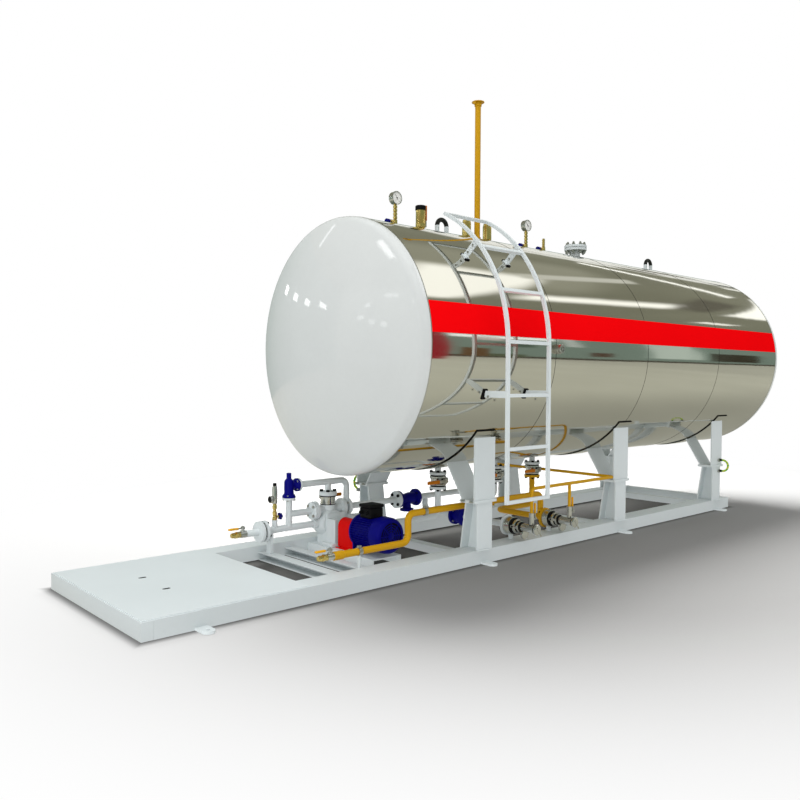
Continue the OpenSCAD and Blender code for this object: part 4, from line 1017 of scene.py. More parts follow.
class TANK_OT_valves(PieceOperator, bpy.types.Operator):
    """Ball valves between pipe flanges, with studs and sleeved levers"""

    bl_idname = "tank.valves"
    bl_label = "Ball valves and levers"

    def build(self, tank, fitting, colours):
        """Three valves hang under the tank, one stands on the pump; each lever rides on its own body."""
        steel, dark, white, yellow, stems = (Heap() for _ in range(5))
        for body in TANK_LEVERS:
            x, _, z = PIVOT[body]
            under = yellow if body == "vapour_lever" else white
            self.valve(steel, dark, white, under, np.array((x, 0.0, z)), fitting)
            self.lever(body, -Y, -X, fitting.long_lever, 0.024, "orange", "orange_sleeve")
        steel.piece("outlet_bodies", FINISH["bright"], "steel", stands_for=["outlet_valves"])
        yellow.piece("vapour_valve_flange", FINISH["yellow"], "yellow_paint")
        self.inlet(dark, white)
        self.lever("inlet_lever", Y, X, fitting.long_lever, 0.024, "orange", "orange_sleeve")
        for body in HOSE_LEVERS:
            self.lever(body, Z, -X, fitting.short_lever, 0.020, "sleeve", "yellow_sleeve")
        for body in BLEED_LEVERS:
            self.lever(body, X, Z, fitting.short_lever, 0.014, "sleeve", "yellow_sleeve")
        for bodies, way, hub, across in ((TANK_LEVERS, -Y, 0.006, 0.022),
                                         (["inlet_lever"], Y, 0.006, 0.022),
                                         (HOSE_LEVERS, Z, 0.0065, 0.018),
                                         (BLEED_LEVERS, X, 0.0065, 0.018)):
            stems.nuts(np.array([PIVOT[body] + way * hub for body in bodies]), way, across, 0.0055)
        white.piece("valve_pipe_flanges", FINISH["white"], "white_paint")
        dark.piece("valve_studs", FINISH["black"], "black_plastic")
        stems.piece("stem_nuts", FINISH["steel"], "steel")

    @staticmethod
    def valve(steel, dark, white, under, at, fitting):
        """Pipe flange, dark joint with studs, valve flange, body; then the same mirrored below."""
        r = fitting.flange / 2
        half = 0.059
        steel.lathe(at, Z, [(r * 0.95, -0.032), (r * 0.97, -0.030), (r * 0.97, -0.022), (r * 0.84, -0.016),
                            (r * 0.84, 0.016), (r * 0.97, 0.022), (r * 0.97, 0.030), (r * 0.95, 0.032)], 40)
        steel.lathe(at, -Y, VALVE_STEM, 24)
        steel.slab(at + (0.016, -0.056, 0.004), (0.050, 0.004, 0.026), 0.001)
        dark.slab(at + (0.016, -0.0545, 0.004), (0.060, 0.005, 0.036), 0.001)
        for way, plate in ((1, white), (-1, under)):
            dark.lathe(at, way * Z, [(r * 0.84, 0.030), (r * 0.84, 0.046)], 40)
            plate.lathe(at, way * Z, [(r * 0.98, 0.0415), (r, 0.043), (r, half - 0.002), (r * 0.98, half),
                                      (0.026, half), (0.022, half + 0.010)], 40)
            spots = ring(at, Z, r * 0.78, 4, math.pi / 4)
            dark.lathe(spots, way * Z, [(0.005, 0.010), (0.005, half + 0.014)], 10)
            dark.nuts(spots + way * half * Z, way * Z, 0.023, 0.011)
            dark.nuts(spots + way * 0.022 * Z, -way * Z, 0.020, 0.009)
        top = AXIS - TANK_R - 0.001
        white.lathe(at, Z, [(0.021, half), (0.021, top - at[2])], 28)

    @staticmethod
    def inlet(dark, white):
        """A short steel drum under a white flange with blackened bolts."""
        x = PIVOT["inlet_lever"][0]
        low, high = span("inlet_valve")
        at = np.array((x, float(low[1]) + 0.060, float(low[2])))
        tall = float(high[2] - low[2])
        steel = Heap()
        steel.lathe(at, Z, [(0.049, 0.003), (0.051, 0.005), (0.051, 0.014), (0.0495, 0.016),
                            (0.0495, 0.044), (0.051, 0.046), (0.051, 0.054), (0.049, 0.056)], 48)
        steel.lathe(at + 0.044 * Z, Y, VALVE_STEM, 24)
        dark.lathe(at, Z, [(0.052, 0), (0.052, 0.004)], 48)
        dark.lathe(at, Z, [(0.056, 0.054), (0.057, 0.056), (0.057, 0.062)], 48)
        white.lathe(at, Z, [(0.058, 0.0615), (0.060, 0.064), (0.060, tall - 0.002), (0.058, tall),
                            (0.026, tall), (0.0215, tall + 0.012)], 48)
        spots = ring(at + tall * Z, Z, 0.044, 4, math.pi / 4 + 0.12)
        dark.nuts(spots, Z, 0.026, 0.013)
        steel.piece("inlet_body", FINISH["bright"], "steel", stands_for=["inlet_valve"])

    @staticmethod
    def lever(body, face, reach, run, width, finish, slot):
        """A hub and a flat bar of plated steel, with a rounded sleeve over the grip."""
        at = PIVOT[body]
        side = np.cross(face, reach)
        axes = np.array((reach, side, face))
        bar = Heap()
        bar.lathe(at - face * 0.006, face, [(width * 0.75, 0), (width * 0.75, 0.012)], 32)
        bar.slab(at + reach * run * 0.30, (run * 0.60, width * 0.80, 0.006), 0.002, axes)
        bar.piece(body + "_bar", FINISH["steel"], "steel", body, [body])
        grip = Heap()
        grip.slab(at + reach * (run * 0.66), (run * 0.68, width, 0.0118), 0.005, axes, 5)
        grip.piece(body + "_grip", FINISH[finish], slot, body)


class TANK_OT_pipes(PieceOperator, bpy.types.Operator):
    """Painted pipework with flange bolts, gaskets and clamps"""

    bl_idname = "tank.pipes"
    bl_label = "Pipework"

    def build(self, tank, fitting, colours):
        """CAD pipes take their paint; small parts follow the flanges."""
        coat("white", "suction_line", "discharge_line", "return_line", "hose_stub_pipe")
        coat("yellow", "vapour_line", "bleed_line")
        coat("navy", "check_valve")
        dark, light = Heap(), Heap()
        self.hose(dark)
        self.bypass(dark)
        self.safety(light)
        spot, inside, bolt_ring = middle("check_valve"), 0.034, 0.052
        for s in (-1, 1):
            light.nuts(ring(spot + s * inside * Y, Y, bolt_ring, 4, math.pi / 4), -s * Y, 0.018, 0.009)
        self.bonds(dark, light)
        dark.piece("flange_studs", FINISH["black"], "black_plastic")
        light.piece("flange_nuts", FINISH["steel"], "steel")
        self.clamps()

    @staticmethod
    def hose(dark):
        """A dark joint between the two hose discs and nuts behind the second one."""
        low, high = span("hose_stub_pipe")
        at = np.array((float(high[0]), float(low[1] + high[1]) / 2, float(low[2] + high[2]) / 2))
        r = float(high[2] - low[2]) / 2
        dark.hollow(at - 0.0125 * X, X, r * 0.83, r * 0.70, 0.0122, 48)
        spots = ring(at, X, r * 0.86, 4, 0.4)
        dark.lathe(spots, -X, [(0.005, 0), (0.005, 0.014)], 10)
        dark.studs(spots + 0.0192 * X, X, 0.010, 0.009, 0.013)

    @staticmethod
    def bypass(dark):
        """A waisted body between two flanges with a branch below, bolted to a white pipe flange."""
        low, high = span("bypass_valve")
        at = np.array((float(low[0]), middle("bypass_valve")[1], PORT_HEIGHT))
        run = float(high[0] - low[0])
        r = float(high[1] - low[1]) / 2
        body = Heap()
        body.lathe(at, X, [(r, 0), (r, 0.016), (r * 0.96, 0.018), (0.036, 0.022), (0.033, 0.040),
                           (0.036, 0.075), (0.042, run * 0.60), (0.040, run - 0.030),
                           (r * 0.97, run - 0.020), (r, run - 0.018), (r, run)], 48)
        foot = float(low[2]) - at[2]
        body.lathe(at + (run / 2, 0, foot), Z, [(0.048, 0), (0.050, 0.002), (0.050, 0.016), (0.032, 0.020),
                                                (0.030, 0.040), (0.034, -foot)], 40)
        body.piece("bypass_body", FINISH["navy"], "navy_paint", stands_for=["bypass_valve"])
        spots = ring(at, X, 0.045, 4, math.pi / 4)
        dark.nuts(spots - 0.018 * X, -X, 0.024, 0.012)
        dark.nuts(spots + 0.017 * X, X, 0.020, 0.010)
        dark.nuts(spots + (run - 0.018) * X, -X, 0.020, 0.010)
        dark.nuts(spots + run * X, X, 0.020, 0.010)

    @staticmethod
    def bonds(dark, light):
        """Sheathed loops across the leg splices: two straight ends and a half circle, crimped at both."""
        low, high = span("earth_bonds")
        loops = Heap()
        bend, end, cord_r, sheath_r = 0.049, 0.030, 0.0065, 0.0085
        z = float(low[2] + high[2]) / 2
        turn = np.radians(np.linspace(90, -90, 33))[:, None]
        for x, side in ((float(high[0]) - cord_r, -1), (float(low[0]) + cord_r, 1)):
            face = np.array((x, side * float(span("leg_pedestals")[1][1] - 0.011), z))
            arc = face + side * end * Y + bend * (np.cos(turn) * side * Y + np.sin(turn) * Z)
            ends = [face + side * 0.003 * Y + bend * Z, face + side * 0.003 * Y - bend * Z]
            loops.tube(np.concatenate(([ends[0]], arc, [ends[1]])), sheath_r, X, 16)
            for spot in ends:
                dark.lathe(spot, side * Y, [(0.0110, 0), (0.0110, 0.020), (0.0090, 0.023)], 20)
                light.lathe(spot - side * 0.003 * Y, side * Y,
                            [(0.017, 0), (0.017, 0.003), (0.015, 0.004)], 24)
                light.nuts(spot - 0.026 * X - side * 0.003 * Y, side * Y, 0.026, 0.012)
        loops.piece("earth_loops", FINISH["bond"], "bond_sheath", stands_for=["earth_bonds"])

    @staticmethod
    def safety(light):
        """Turned body with a flared foot and a cap, and a side outlet; plated nuts on both flanges."""
        low, high = span("safety_valve")
        y = middle("safety_valve")[1]
        foot = np.array((float(low[0]) + 0.043, y, float(low[2])))
        tall, reach = float(high[2] - low[2]), float(high[0]) - foot[0]
        body = Heap()
        body.lathe(foot, Z, [(0.043, 0), (0.043, 0.010), (0.040, 0.014), (0.031, 0.030), (0.031, 0.098),
                             (0.028, 0.112), (0.018, 0.122), (0.016, 0.126), (0.016, tall - 0.003),
                             (0.013, tall)], 40)
        side = foot + 0.078 * Z
        body.lathe(side, X, [(0.024, 0), (0.025, 0.040), (0.041, reach - 0.014), (0.043, reach - 0.012),
                             (0.043, reach)], 40)
        body.piece("safety_body", FINISH["navy"], "navy_paint", stands_for=["safety_valve"])
        light.nuts(ring(foot + 0.011 * Z, Z, 0.035, 4, math.pi / 4), Z, 0.015, 0.008)
        light.nuts(ring(side + (reach - 0.0125) * X, X, 0.034, 4, math.pi / 4), -X, 0.016, 0.008)
        light.nuts(ring(foot - 0.0128 * Z, Z, 0.035, 4, math.pi / 4), -Z, 0.015, 0.007)

    @staticmethod
    def clamps():
        """Bent straps round the yellow pipe with a bolted ear, and a socket at its end."""
        end, y = float(span("vapour_line")[0][0]), middle("yellow_hose_lever")[1]
        low_run, high_run = 0.172, 0.345
        strap, socket = Heap(), Heap()
        for x, z in ((-2.420, low_run), (-1.900, high_run)):
            at = np.array((x, y, z))
            strap.hollow(at - 0.012 * X, X, 0.0250, 0.0205, 0.024, 36)
            strap.slab(at + (0, 0, 0.028), (0.024, 0.016, 0.014), 0.002)
            strap.nuts(at + (0, -0.008, 0.029), -Y, 0.012, 0.006)
        socket.lathe((end, y, low_run), X,
                     [(0.0225, 0.0005), (0.0255, 0.003), (0.0255, 0.030), (0.0235, 0.032),
                      (0.0235, 0.035), (0.0255, 0.037), (0.0255, 0.066), (0.0222, 0.070)], 36)
        strap.piece("pipe_clamps", FINISH["steel"], "steel")
        socket.piece("pipe_socket", FINISH["yellow"], "yellow_paint")


class TANK_OT_line_ends(PieceOperator, bpy.types.Operator):
    """Sampling point, hose valves and fill couplings"""

    bl_idname = "tank.line_ends"
    bl_label = "Line ends"

    def build(self, tank, fitting, colours):
        """Turned forms at the free ends of the lines."""
        coat("bright", "small_valves")
        self.sampling()
        self.noses()
        self.couplings()

    def sampling(self):
        """Needle valve, steel cylinder with a dark tip, small dial and a star knob."""
        base = np.array((-2.498, middle("sampling_point")[1], 0.257))
        tall = float(span("sampling_point")[1][2]) - base[2]
        brass, steel, dark, knob, face = (Heap() for _ in range(5))
        brass.lathe(base, Z, [(0.013, 0), (0.0155, 0.002), (0.0155, 0.016), (0.011, 0.020), (0.011, 0.030),
                              (0.0145, 0.034), (0.0145, 0.052), (0.010, 0.056), (0.010, 0.068),
                              (0.0145, 0.072), (0.0145, 0.090), (0.012, 0.094), (0.012, 0.104)], 24)
        branch = base + 0.0206 * Z
        brass.lathe(branch, X, [(0.009, 0), (0.009, 0.028), (0.006, 0.030), (0.006, 0.036)], 20)
        steel.lathe(base, Z, [(0.012, 0.103), (0.0168, 0.108), (0.0168, tall - 0.040),
                              (0.0150, tall - 0.036), (0.0150, tall - 0.026), (0.011, tall - 0.018)], 28)
        dark.lathe(base, Z, [(0.011, tall - 0.0182), (0.012, tall - 0.014), (0.012, tall - 0.004),
                             (0.008, tall)], 24)
        angle = np.linspace(0, 2 * np.pi, 40, endpoint=False)
        lobe = 0.020 + 0.0025 * np.cos(6 * angle)
        star = np.stack((lobe * np.cos(angle), lobe * np.sin(angle)), 1)
        knob.prism(branch + 0.033 * X, Y, Z, 0.0145 * X, star)
        gauge = base + 0.134 * Z
        steel.lathe(gauge, -X, [(0.008, 0.010), (0.008, 0.022), (0.020, 0.022), (0.0225, 0.024),
                                (0.0225, 0.037), (0.0205, 0.0374), (0.0205, 0.034)], 32, caps=False)
        face.lathe(gauge - 0.0340 * X, -X, [(0.0205, 0), (0.0205, 0.0005)], 28)
        brass.piece("sampling_needle", FINISH["brass"], "brass", stands_for=["sampling_point"])
        steel.piece("sampling_cylinder", FINISH["bright"], "steel")
        dark.piece("sampling_tip", FINISH["black"], "black_plastic")
        knob.piece("sampling_knob", FINISH["knob"], "navy_paint")
        face.piece("sampling_dial", FINISH["black"], "black_plastic")

    def noses(self):
        """Hose tails: a hexagon, then a barbed nose."""
        hose = Heap()
        for body in HOSE_LEVERS:
            x, y, z = PIVOT[body]
            start = np.array((x - 0.022, y, z - 0.039))
            hose.lathe(start, -X, [(0.017, 0), (0.017, 0.014), (0.016, 0.016)], 32)
            hose.lathe(start, -X, [(0.0204, 0.0145), (0.0204, 0.029), (0.018, 0.031)], 6)
            hose.lathe(start, -X, [(0.015, 0.029), (0.017, 0.034), (0.0145, 0.040), (0.017, 0.042),
                                   (0.0145, 0.048), (0.017, 0.050), (0.013, 0.060)], 32)
        hose.piece("hose_tails", FINISH["brass"], "brass", stands_for=["hose_noses"])

    def couplings(self):
        """Flanged coupling with a grooved body, a collar, a spout and a hinged cap; black rings on it are
        painted reflection.
        """
        y, z = float(span("fill_couplings")[1][1]), middle("fill_couplings")[2]
        steel, dark = Heap(), Heap()
        for body in BLEED_LEVERS:
            at = np.array((PIVOT[body][0] - 0.035, y, z))
            steel.lathe(at, -Y, [(0.058, 0), (0.058, 0.012), (0.055, 0.014), (0.055, 0.020), (0.058, 0.022),
                                 (0.058, 0.048), (0.055, 0.050), (0.040, 0.051)], 48)
            steel.lathe(at - 0.072 * Y, -Y,
                        [(0.036, -0.002), (0.044, 0), (0.046, 0.002), (0.046, 0.014), (0.042, 0.018),
                         (0.034, 0.020), (0.033, 0.030), (0.038, 0.032), (0.038, 0.042), (0.027, 0.046),
                         (0.026, 0.160), (0.024, 0.168)], 48)
            steel.lathe(at - 0.240 * Y, -Y, [(0.030, -0.002), (0.035, 0), (0.036, 0.002), (0.036, 0.010),
                                             (0.030, 0.015), (0.008, 0.0155)], 40)
            steel.tube([at + (-0.010, -0.256, 0.012), at + (0.030, -0.256, -0.044)], 0.0045, Y, 10)
            cap = at + (0.014, -0.120, -0.046)
            steel.lathe(cap, -Y, [(0.020, 0), (0.032, 0.001), (0.034, 0.003), (0.034, 0.018),
                                  (0.030, 0.021), (0.010, 0.0215)], 36)
            steel.slab(at + (0.008, -0.130, -0.024), (0.012, 0.016, 0.030), 0.003)
            for side in (-1, 1):
                steel.slab(at + (side * 0.049, -0.094, 0.004), (0.008, 0.062, 0.018), 0.003)
                dark.lathe(at + (side * 0.0525, -0.078, 0.004), side * X,
                           [(0.006, 0), (0.006, 0.004), (0.004, 0.005)], 16)
            # A black seal in the gap behind the flange; the three black rings after it are painted dark
            # reflections of the steel drum.
            dark.lathe(at - 0.0505 * Y, -Y, [(0.052, -0.001), (0.054, 0.002), (0.054, 0.010),
                                             (0.047, 0.014), (0.047, 0.021), (0.036, 0.022)], 48)
            dark.hollow(at - 0.0925 * Y, -Y, 0.0400, 0.0320, 0.0080, 48)
            dark.hollow(at - 0.1160 * Y, -Y, 0.0345, 0.0250, 0.0070, 48)
            dark.hollow(at - 0.2300 * Y, -Y, 0.0300, 0.0240, 0.0060, 40)
            spots = ring(at + 0.014 * Y, Y, 0.060, 6, 0.2)
            dark.nuts(spots, Y, 0.018, 0.009)
        steel.piece("coupling_bodies", FINISH["bright"], "steel", stands_for=["fill_couplings"])
        dark.piece("coupling_seals", FINISH["seal"], "black_plastic")


class TANK_OT_stage(PieceOperator, bpy.types.Operator):
    """Pale floor, soft light, reflector cards and the camera"""

    bl_idname = "tank.stage"
    bl_label = "Stage"

    def build(self, tank, fitting, colours):
        """Most cards show only in reflections, as a studio's flags do."""
        scene = bpy.context.scene
        scene.view_settings.view_transform = "Standard"
        self.world(scene)
        floor = self.floor()
        self.cards()
        self.lamps(floor)
        self.camera(scene)

    @staticmethod
    def card(name, corners, material, **seen):
        """A flat card of four corners that belongs to the stage."""
        mesh = bpy.data.meshes.new(name)
        mesh.from_pydata(corners, [], [(0, 1, 2, 3)])
        mesh.materials.append(material)
        thing = bpy.data.objects.new(name, mesh)
        bpy.context.scene.collection.objects.link(thing)
        for key, value in seen.items():
            setattr(thing, key, value)
        return thing

    @staticmethod
    def world(scene):
        """A soft sky, brighter overhead, and plain white behind the object."""
        world = scene.world or bpy.data.worlds.new("studio")
        scene.world = world
        world.use_nodes = True
        tree = world.node_tree
        ray = tree.nodes.new("ShaderNodeLightPath")
        spot = tree.nodes.new("ShaderNodeTexCoord")
        part = tree.nodes.new("ShaderNodeSeparateXYZ")
        slope = tree.nodes.new("ShaderNodeMapRange")
        pick = tree.nodes.new("ShaderNodeMix")
        sky = tree.nodes["Background"]
        sky.inputs["Color"].default_value = (1, 1, 1, 1)
        horizon, zenith = 0.62, 0.98
        for socket, value in zip(slope.inputs[1:5], (0.0, 1.0, horizon, zenith)):
            socket.default_value = value
        pick.inputs["B"].default_value = 1.0
        for start, end in ((spot.outputs["Generated"], part.inputs[0]),
                           (part.outputs["Z"], slope.inputs[0]),
                           (slope.outputs[0], pick.inputs["A"]),
                           (ray.outputs["Is Camera Ray"], pick.inputs[0]),
                           (pick.outputs[0], sky.inputs["Strength"])):
            tree.links.new(start, end)

    def floor(self):
        """A wide sheet with a painted shadow, dark inside the skid's frame and pale round it, that runs out
        into white.
        """
        finish = Finish("floor_pale", Roughness=0.9, Emission_Strength=1.0, Specular_IOR_Level=0.0)
        spot = finish.node("ShaderNodeVectorMath", None, {0: finish.place((0.8, 1, 1)), 1: (-0.4, 0, 0)})
        away = finish.node("ShaderNodeVectorMath", {"operation": "LENGTH"}, {0: spot}, "Value")
        # Painted light: the floor also glows white past the tank's rear end, which lightens the cast shadow
        # there.
        painted_light_past_rear = finish.step(finish.height("X"), 1.9, 4.4) * 0.75
        round_skid = finish.step(away, 2.45, 4.5)
        far = finish.node("ShaderNodeMath", {"operation": "MAXIMUM"}, {0: round_skid, 1: painted_light_past_rear})
        frame = np.array([span(node) for node in ("near_rail", "far_rail", "cross_members")])
        low, high = frame[:, 0].min(0), frame[:, 1].max(0)
        centre, half = (low + high) / 2, (high - low) / 2
        x, y = (finish.node("ShaderNodeMath", {"operation": "ABSOLUTE"},
                            {0: finish.height(axis) - float(centre[k])}) - float(half[k])
                for k, axis in enumerate("XY"))
        gap = finish.node("ShaderNodeMath", {"operation": "MAXIMUM"}, {0: x, 1: y})
        # Painted shadow: the floor is dark, with a weaker glow, inside the skid's frame and eases to pale
        # just past its edge, a painted contact shadow along the rails; the floor lamp adds a real cast
        # shadow.
        clear = finish.step(gap, -0.01, 0.065)
        tone = finish.mix(clear, (0.09, 0.09, 0.086), (0.31, 0.31, 0.305))
        finish.set("Base Color", finish.mix(far, tone, (0, 0, 0)))
        finish.set("Emission Color", finish.mix(far * (clear * 0.75 + 0.25), (0, 0, 0), (1, 1, 1)))
        reach = 60.0
        corners = [(i * reach, j * reach, 0) for i, j in ((-1, -1), (1, -1), (1, 1), (-1, 1))]
        return self.card("floor", corners, finish.material, visible_diffuse=False, visible_glossy=False,
                         visible_shadow=False)

    @staticmethod
    def glow(name, tint, strength):
        """A card that shines evenly."""
        finish = Finish(name, Emission_Strength=strength)
        finish.set("Base Color", (0, 0, 0, 1))
        finish.set("Emission Color", (*tint, 1))
        return finish.material

    @staticmethod
    def strip(finish, start, end, half, soft):
        """1 on a straight strip of a level card from start to end, fading over soft at its edges."""
        start, end = np.array(start), np.array(end)
        way = (end - start) / np.linalg.norm(end - start)
        x, y = (finish.height(axis) - float(s) for axis, s in zip("XY", start))
        along = x * float(way[0]) + y * float(way[1])
        across = y * float(way[0]) - x * float(way[1])
        run = float(np.linalg.norm(end - start))
        ends = finish.step(along, -soft, soft) * (1 - finish.step(along, run - soft, run + soft))
        enter = finish.step(across, -half - soft, -half + soft)
        sides = enter * (1 - finish.step(across, half - soft, half + soft))
        return ends * sides

    def roof(self):
        """Olive ceiling with slanted soft lights, a dark bay and a pale far side."""
        finish = Finish("card_roof", Emission_Strength=1.0)
        finish.set("Base Color", (0, 0, 0, 1))
        tone = finish.mix(finish.noise(0.25), (0.18, 0.18, 0.13), (0.30, 0.30, 0.225))
        pale = finish.step(finish.height("Y"), 3.9, 4.5) * finish.step(finish.height("X"), 5.8, 7.2)
        tone = finish.mix(pale, tone, (0.95, 0.95, 0.90))
        # Start, end, half width, soft edge and tint of each light, beam or bay
        for start, end, half, soft, tint in (
                ((2.0, -0.8), (8.0, -0.8), 2.2, 0.9, (0.38, 0.38, 0.30)),
                ((11.6, -2.0), (13.8, -2.4), 1.2, 0.4, (0.14, 0.13, 0.10)),
                ((4.6, -6.4), (4.6, -1.4), 1.55, 0.45, (1.5, 1.5, 1.44)),
                ((7.0, -4.6), (11.8, -3.1), 0.50, 0.45, (1.6, 1.6, 1.54)),
                ((9.0, 3.6), (13.6, 0.4), 0.26, 0.10, (1.6, 1.6, 1.54)),
                ((16.1, -3.6), (16.1, 0.8), 1.3, 0.30, (1.6, 1.6, 1.54)),
                ((5.5, -1.4), (9.2, 0.5), 0.32, 0.15, (0.75, 0.75, 0.68)),
                ((16.0, -5.9), (18.0, -5.9), 0.25, 0.10, (1.4, 1.4, 1.35)),
                ((6.0, 5.2), (28.0, 5.2), 0.06, 0.04, (0.06, 0.05, 0.04)),
                ((11.6, 4.9), (13.6, 4.9), 0.45, 0.12, (0.18, 0.17, 0.13)),
                ((14.2, 6.7), (18.0, 6.7), 0.70, 0.15, (0.14, 0.13, 0.10)),
                ((16.6, 4.9), (28.0, 4.9), 0.45, 0.12, (0.02, 0.02, 0.015)),
                ((15.4, 3.4), (28.0, 3.4), 0.30, 0.15, (1.2, 1.2, 1.15)),
                ((6.0, 8.0), (28.0, 8.0), 0.10, 0.05, (0.06, 0.05, 0.04)),
                ((-8.3, 3.2), (-10.4, 2.2), 0.34, 0.22, (6.0, 6.0, 6.0)),
                ((-5.1, 7.2), (-6.0, 9.9), 0.12, 0.10, (2.6, 2.6, 2.6))):
            tone = finish.mix(self.strip(finish, start, end, half, soft), tone, tint)
        finish.set("Emission Color", tone)
        return finish.material

    @staticmethod
    def bounce():
        """Light thrown back by the floor, weak in the shadow under the tank."""
        finish = Finish("card_bounce", Emission_Strength=1.0)
        finish.set("Base Color", (0, 0, 0, 1))
        y, x = finish.height("Y"), finish.height("X")
        tone = finish.mix(finish.step(y, -2.2, -0.8), (0.90, 0.90, 0.90), (0.55, 0.55, 0.55))
        tone = finish.mix(finish.step(y, 0.8, 2.2), tone, (0.90, 0.90, 0.90))
        tone = finish.mix(finish.step(x, -4.0, -2.8), (0.90, 0.90, 0.90), tone)
        finish.set("Emission Color", tone)
        return finish.material

    def cards(self):
        """Walls and a ceiling for glossy rays alone; the ground and the bounce card also throw light."""
        seen = dict(visible_camera=False, visible_diffuse=False, visible_shadow=False,
                    visible_transmission=False)
        wall = self.glow("card_green", (0.21, 0.28, 0.24), 1.0)
        dark = self.glow("card_dark", (0.06, 0.05, 0.035), 1.0)
        pale = self.glow("card_pale", (0.62, 0.64, 0.58), 1.0)
        beige = Finish("card_beige", Roughness=1.0)
        beige.set("Base Color", beige.mix(beige.noise(0.6), (0.56, 0.56, 0.47), (0.67, 0.67, 0.57)))
        x0, x1, y0, y1, top = -16.0, 29.0, -11.0, 11.0, 7.5

        def upright(name, a, b, z0, z1, material):
            self.card(name, [(*a, z0), (*b, z0), (*b, z1), (*a, z1)], material, **seen)

        def flat(name, a, b, z, material):
            self.card(name, [(a[0], a[1], z), (b[0], a[1], z), (b[0], b[1], z), (a[0], b[1], z)],
                      material, **seen)

        upright("wall_near", (x0, y0), (x1, y0), 0, top, wall)
        upright("wall_far", (x0, y1), (x1, y1), 0, top, wall)
        upright("wall_left", (x0, y0), (x0, y1), 0, top, pale)
        upright("wall_right", (x1, y0), (x1, y1), 0, top, wall)
        upright("base_near", (x0, y0 + 0.05), (x1, y0 + 0.05), 0, 0.35, dark)
        upright("base_right", (x1 - 0.05, y0), (x1 - 0.05, y1), 0, 1.1, dark)
        # Name, stretch along the near wall, lower and upper edge, and tint of each flag
        for name, a, b, low, high, tint in (
                ("line", 8.4, 12.6, 3.4, 3.85, (1.3, 1.35, 1.35)),
                ("brown_a", 8.6, 9.7, 0.2, 1.6, (0.14, 0.07, 0.025)),
                ("pale_a", 9.3, 10.4, 3.0, 3.7, (0.68, 0.60, 0.58)),
                ("dark_a", 10.0, 11.5, 2.0, 2.7, (0.08, 0.12, 0.09)),
                ("dark_b", 9.7, 11.2, 0.2, 0.7, (0.10, 0.12, 0.07)),
                ("pale_b", 13.0, 13.8, 2.5, 4.2, (0.56, 0.62, 0.60)),
                ("brown_b", 14.2, 15.1, 0.8, 1.6, (0.08, 0.02, 0.004)),
                ("white", 17.6, 20.7, 0.9, 4.0, (0.60, 0.70, 0.64)),
                ("dark_c", 21.6, 25.4, 0.7, 2.6, (0.03, 0.02, 0.008))):
            upright("flag_" + name, (a, y0 + 0.1), (b, y0 + 0.1), low, high,
                    self.glow("card_" + name, tint, 1.0))
        upright("flag_red", (4.3, -8.0), (5.25, -8.0), 0, 3.4,
                self.glow("card_red", (0.34, 0.002, 0.014), 1.0))
        lamp = self.glow("card_window", (1, 1, 1), 5.5)
        for number, (x, z, half) in enumerate(((-3.6, 4.4, 0.32), (-5.8, 4.5, 0.42), (-8.3, 4.7, 0.55),
                                               (-11.7, 5.2, 0.85))):
            upright("window_%d" % number, (x - half, y1 - 0.1), (x + half, y1 - 0.1),
                    z - 0.21, z + 0.21, lamp)
        dim = self.glow("card_lantern", (1, 1, 1), 2.6)
        for number, (y, z, half) in enumerate(((6.5, 4.6, 0.5), (4.7, 4.1, 0.4), (3.1, 3.8, 0.4),
                                               (5.7, 5.8, 0.4), (2.7, 6.7, 0.9), (-0.3, 6.2, 0.3))):
            upright("lantern_%d" % number, (x0 + 0.1, y - half), (x0 + 0.1, y + half),
                    z - 0.22, z + 0.22, dim)
        flat("roof", (x0, y0), (x1, y1), top, self.roof())
        seen["visible_diffuse"] = True
        flat("bounce", (-9, -8), (9, 8), -0.001, self.bounce())
        bpy.data.objects["bounce"].visible_glossy = False
        flat("ground", (x0, y0), (x1, y1), -0.002, beige.material)

    @staticmethod
    def lamps(floor):
        """Two broad lamps for the object and one, from behind, that draws the shadow on the floor."""
        shaded = [bpy.data.objects[name]
                  for name in ("floor", "front_head_dish", "cross_beams", "near_rail")]
        for name, place, aim, size, power, state, things in (
                ("overhead", (-3.0, -1.0, 9.0), (0, 0, 0), 8.0, 280.0, "EXCLUDE", [floor]),
                ("front_left", (-9.0, -4.0, 1.6), (-1.0, 0, 0.6), 4.0, 190.0, "EXCLUDE", shaded),
                ("floor_lamp", (1.4, 4.0, 7.0), (0.4, -0.5, 0), 6.5, 2800.0, "INCLUDE", [floor])):
            data = bpy.data.lights.new(name, "AREA")
            data.size = size
            data.energy = power
            lamp = bpy.data.objects.new(name, data)
            z = unit(np.array(place) - np.array(aim))
            x = unit(np.cross(Y if abs(z[2]) > 0.99 else Z, z))
            turn = np.stack((x, np.cross(z, x), z), 1)
            lamp.matrix_world = Matrix.Translation(place) @ Matrix(turn.tolist()).to_4x4()
            lamp.visible_glossy = False
            bpy.context.scene.collection.objects.link(lamp)
            lit = bpy.data.collections.new(name + "_link")
            for thing in things:
                lit.objects.link(thing)
            for entry in lit.collection_objects:
                entry.light_linking.link_state = state
            lamp.light_linking.receiver_collection = lit

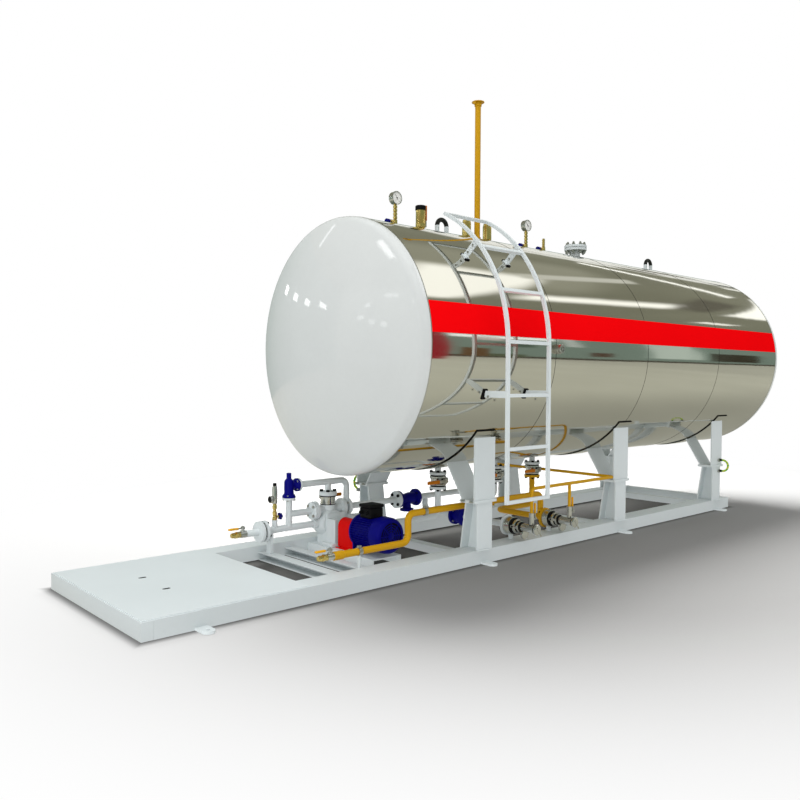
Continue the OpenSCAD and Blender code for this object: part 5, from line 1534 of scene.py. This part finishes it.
    @staticmethod
    def camera(scene):
        """The photograph's viewpoint: place, yaw, pitch, roll and lens."""
        yaw, pitch, roll = np.radians((42.066, -1.631, 0.277))
        ahead = np.array((math.sin(yaw) * math.cos(pitch), math.cos(yaw) * math.cos(pitch),
                          math.sin(pitch)))
        right = np.array((math.cos(yaw), -math.sin(yaw), 0))
        up = np.cross(right, ahead)
        side = math.cos(roll) * right + math.sin(roll) * up
        data = bpy.data.cameras.new("viewpoint")
        data.sensor_width = 36.0
        data.lens = 35.142
        data.clip_end = 200.0
        place = (-5.2348, -3.8622, 1.1696)
        eye = bpy.data.objects.new("viewpoint", data)
        turn = np.stack((side, np.cross(side, ahead), -ahead), 1)
        eye.matrix_world = Matrix.Translation(place) @ Matrix(turn.tolist()).to_4x4()
        scene.collection.objects.link(eye)
        scene.camera = eye


# Add-on

OPERATORS = (TANK_OT_finishes, TANK_OT_shell, TANK_OT_ends, TANK_OT_pads, TANK_OT_skid, TANK_OT_ladder,
             TANK_OT_top, TANK_OT_pump, TANK_OT_valves, TANK_OT_pipes, TANK_OT_line_ends, TANK_OT_stage)


class TANK_PT_panel(bpy.types.Panel):
    """Lists the sizes, the colours and the builders"""

    bl_label = "Pressure tank"
    bl_idname = "TANK_PT_panel"
    bl_space_type = "VIEW_3D"
    bl_region_type = "UI"
    bl_category = "Tank"

    def draw(self, context):
        """One row for each property and one button for each operator."""
        for group in (context.scene.tank_sizes, context.scene.fitting_sizes, context.scene.tank_colours):
            for key in group.bl_rna.properties.keys():
                if key not in ("rna_type", "name"):
                    self.layout.prop(group, key)
        for operator in OPERATORS:
            self.layout.operator(operator.bl_idname)


GROUPS = {"tank_sizes": TankSizes, "fitting_sizes": FittingSizes, "tank_colours": Colours}
CLASSES = (*GROUPS.values(), *OPERATORS, TANK_PT_panel)


def register():
    """Makes the classes and the scene's settings known to Blender."""
    for item in CLASSES:
        bpy.utils.register_class(item)
    for key, group in GROUPS.items():
        setattr(bpy.types.Scene, key, PointerProperty(type=group))


def unregister():
    """Takes the settings and the classes away again."""
    for key in GROUPS:
        delattr(bpy.types.Scene, key)
    for item in reversed(CLASSES):
        bpy.utils.unregister_class(item)


def main():
    register()
    for operator in OPERATORS:
        group, name = operator.bl_idname.split(".")
        getattr(getattr(bpy.ops, group), name)()


if __name__ == "__main__":
    main()
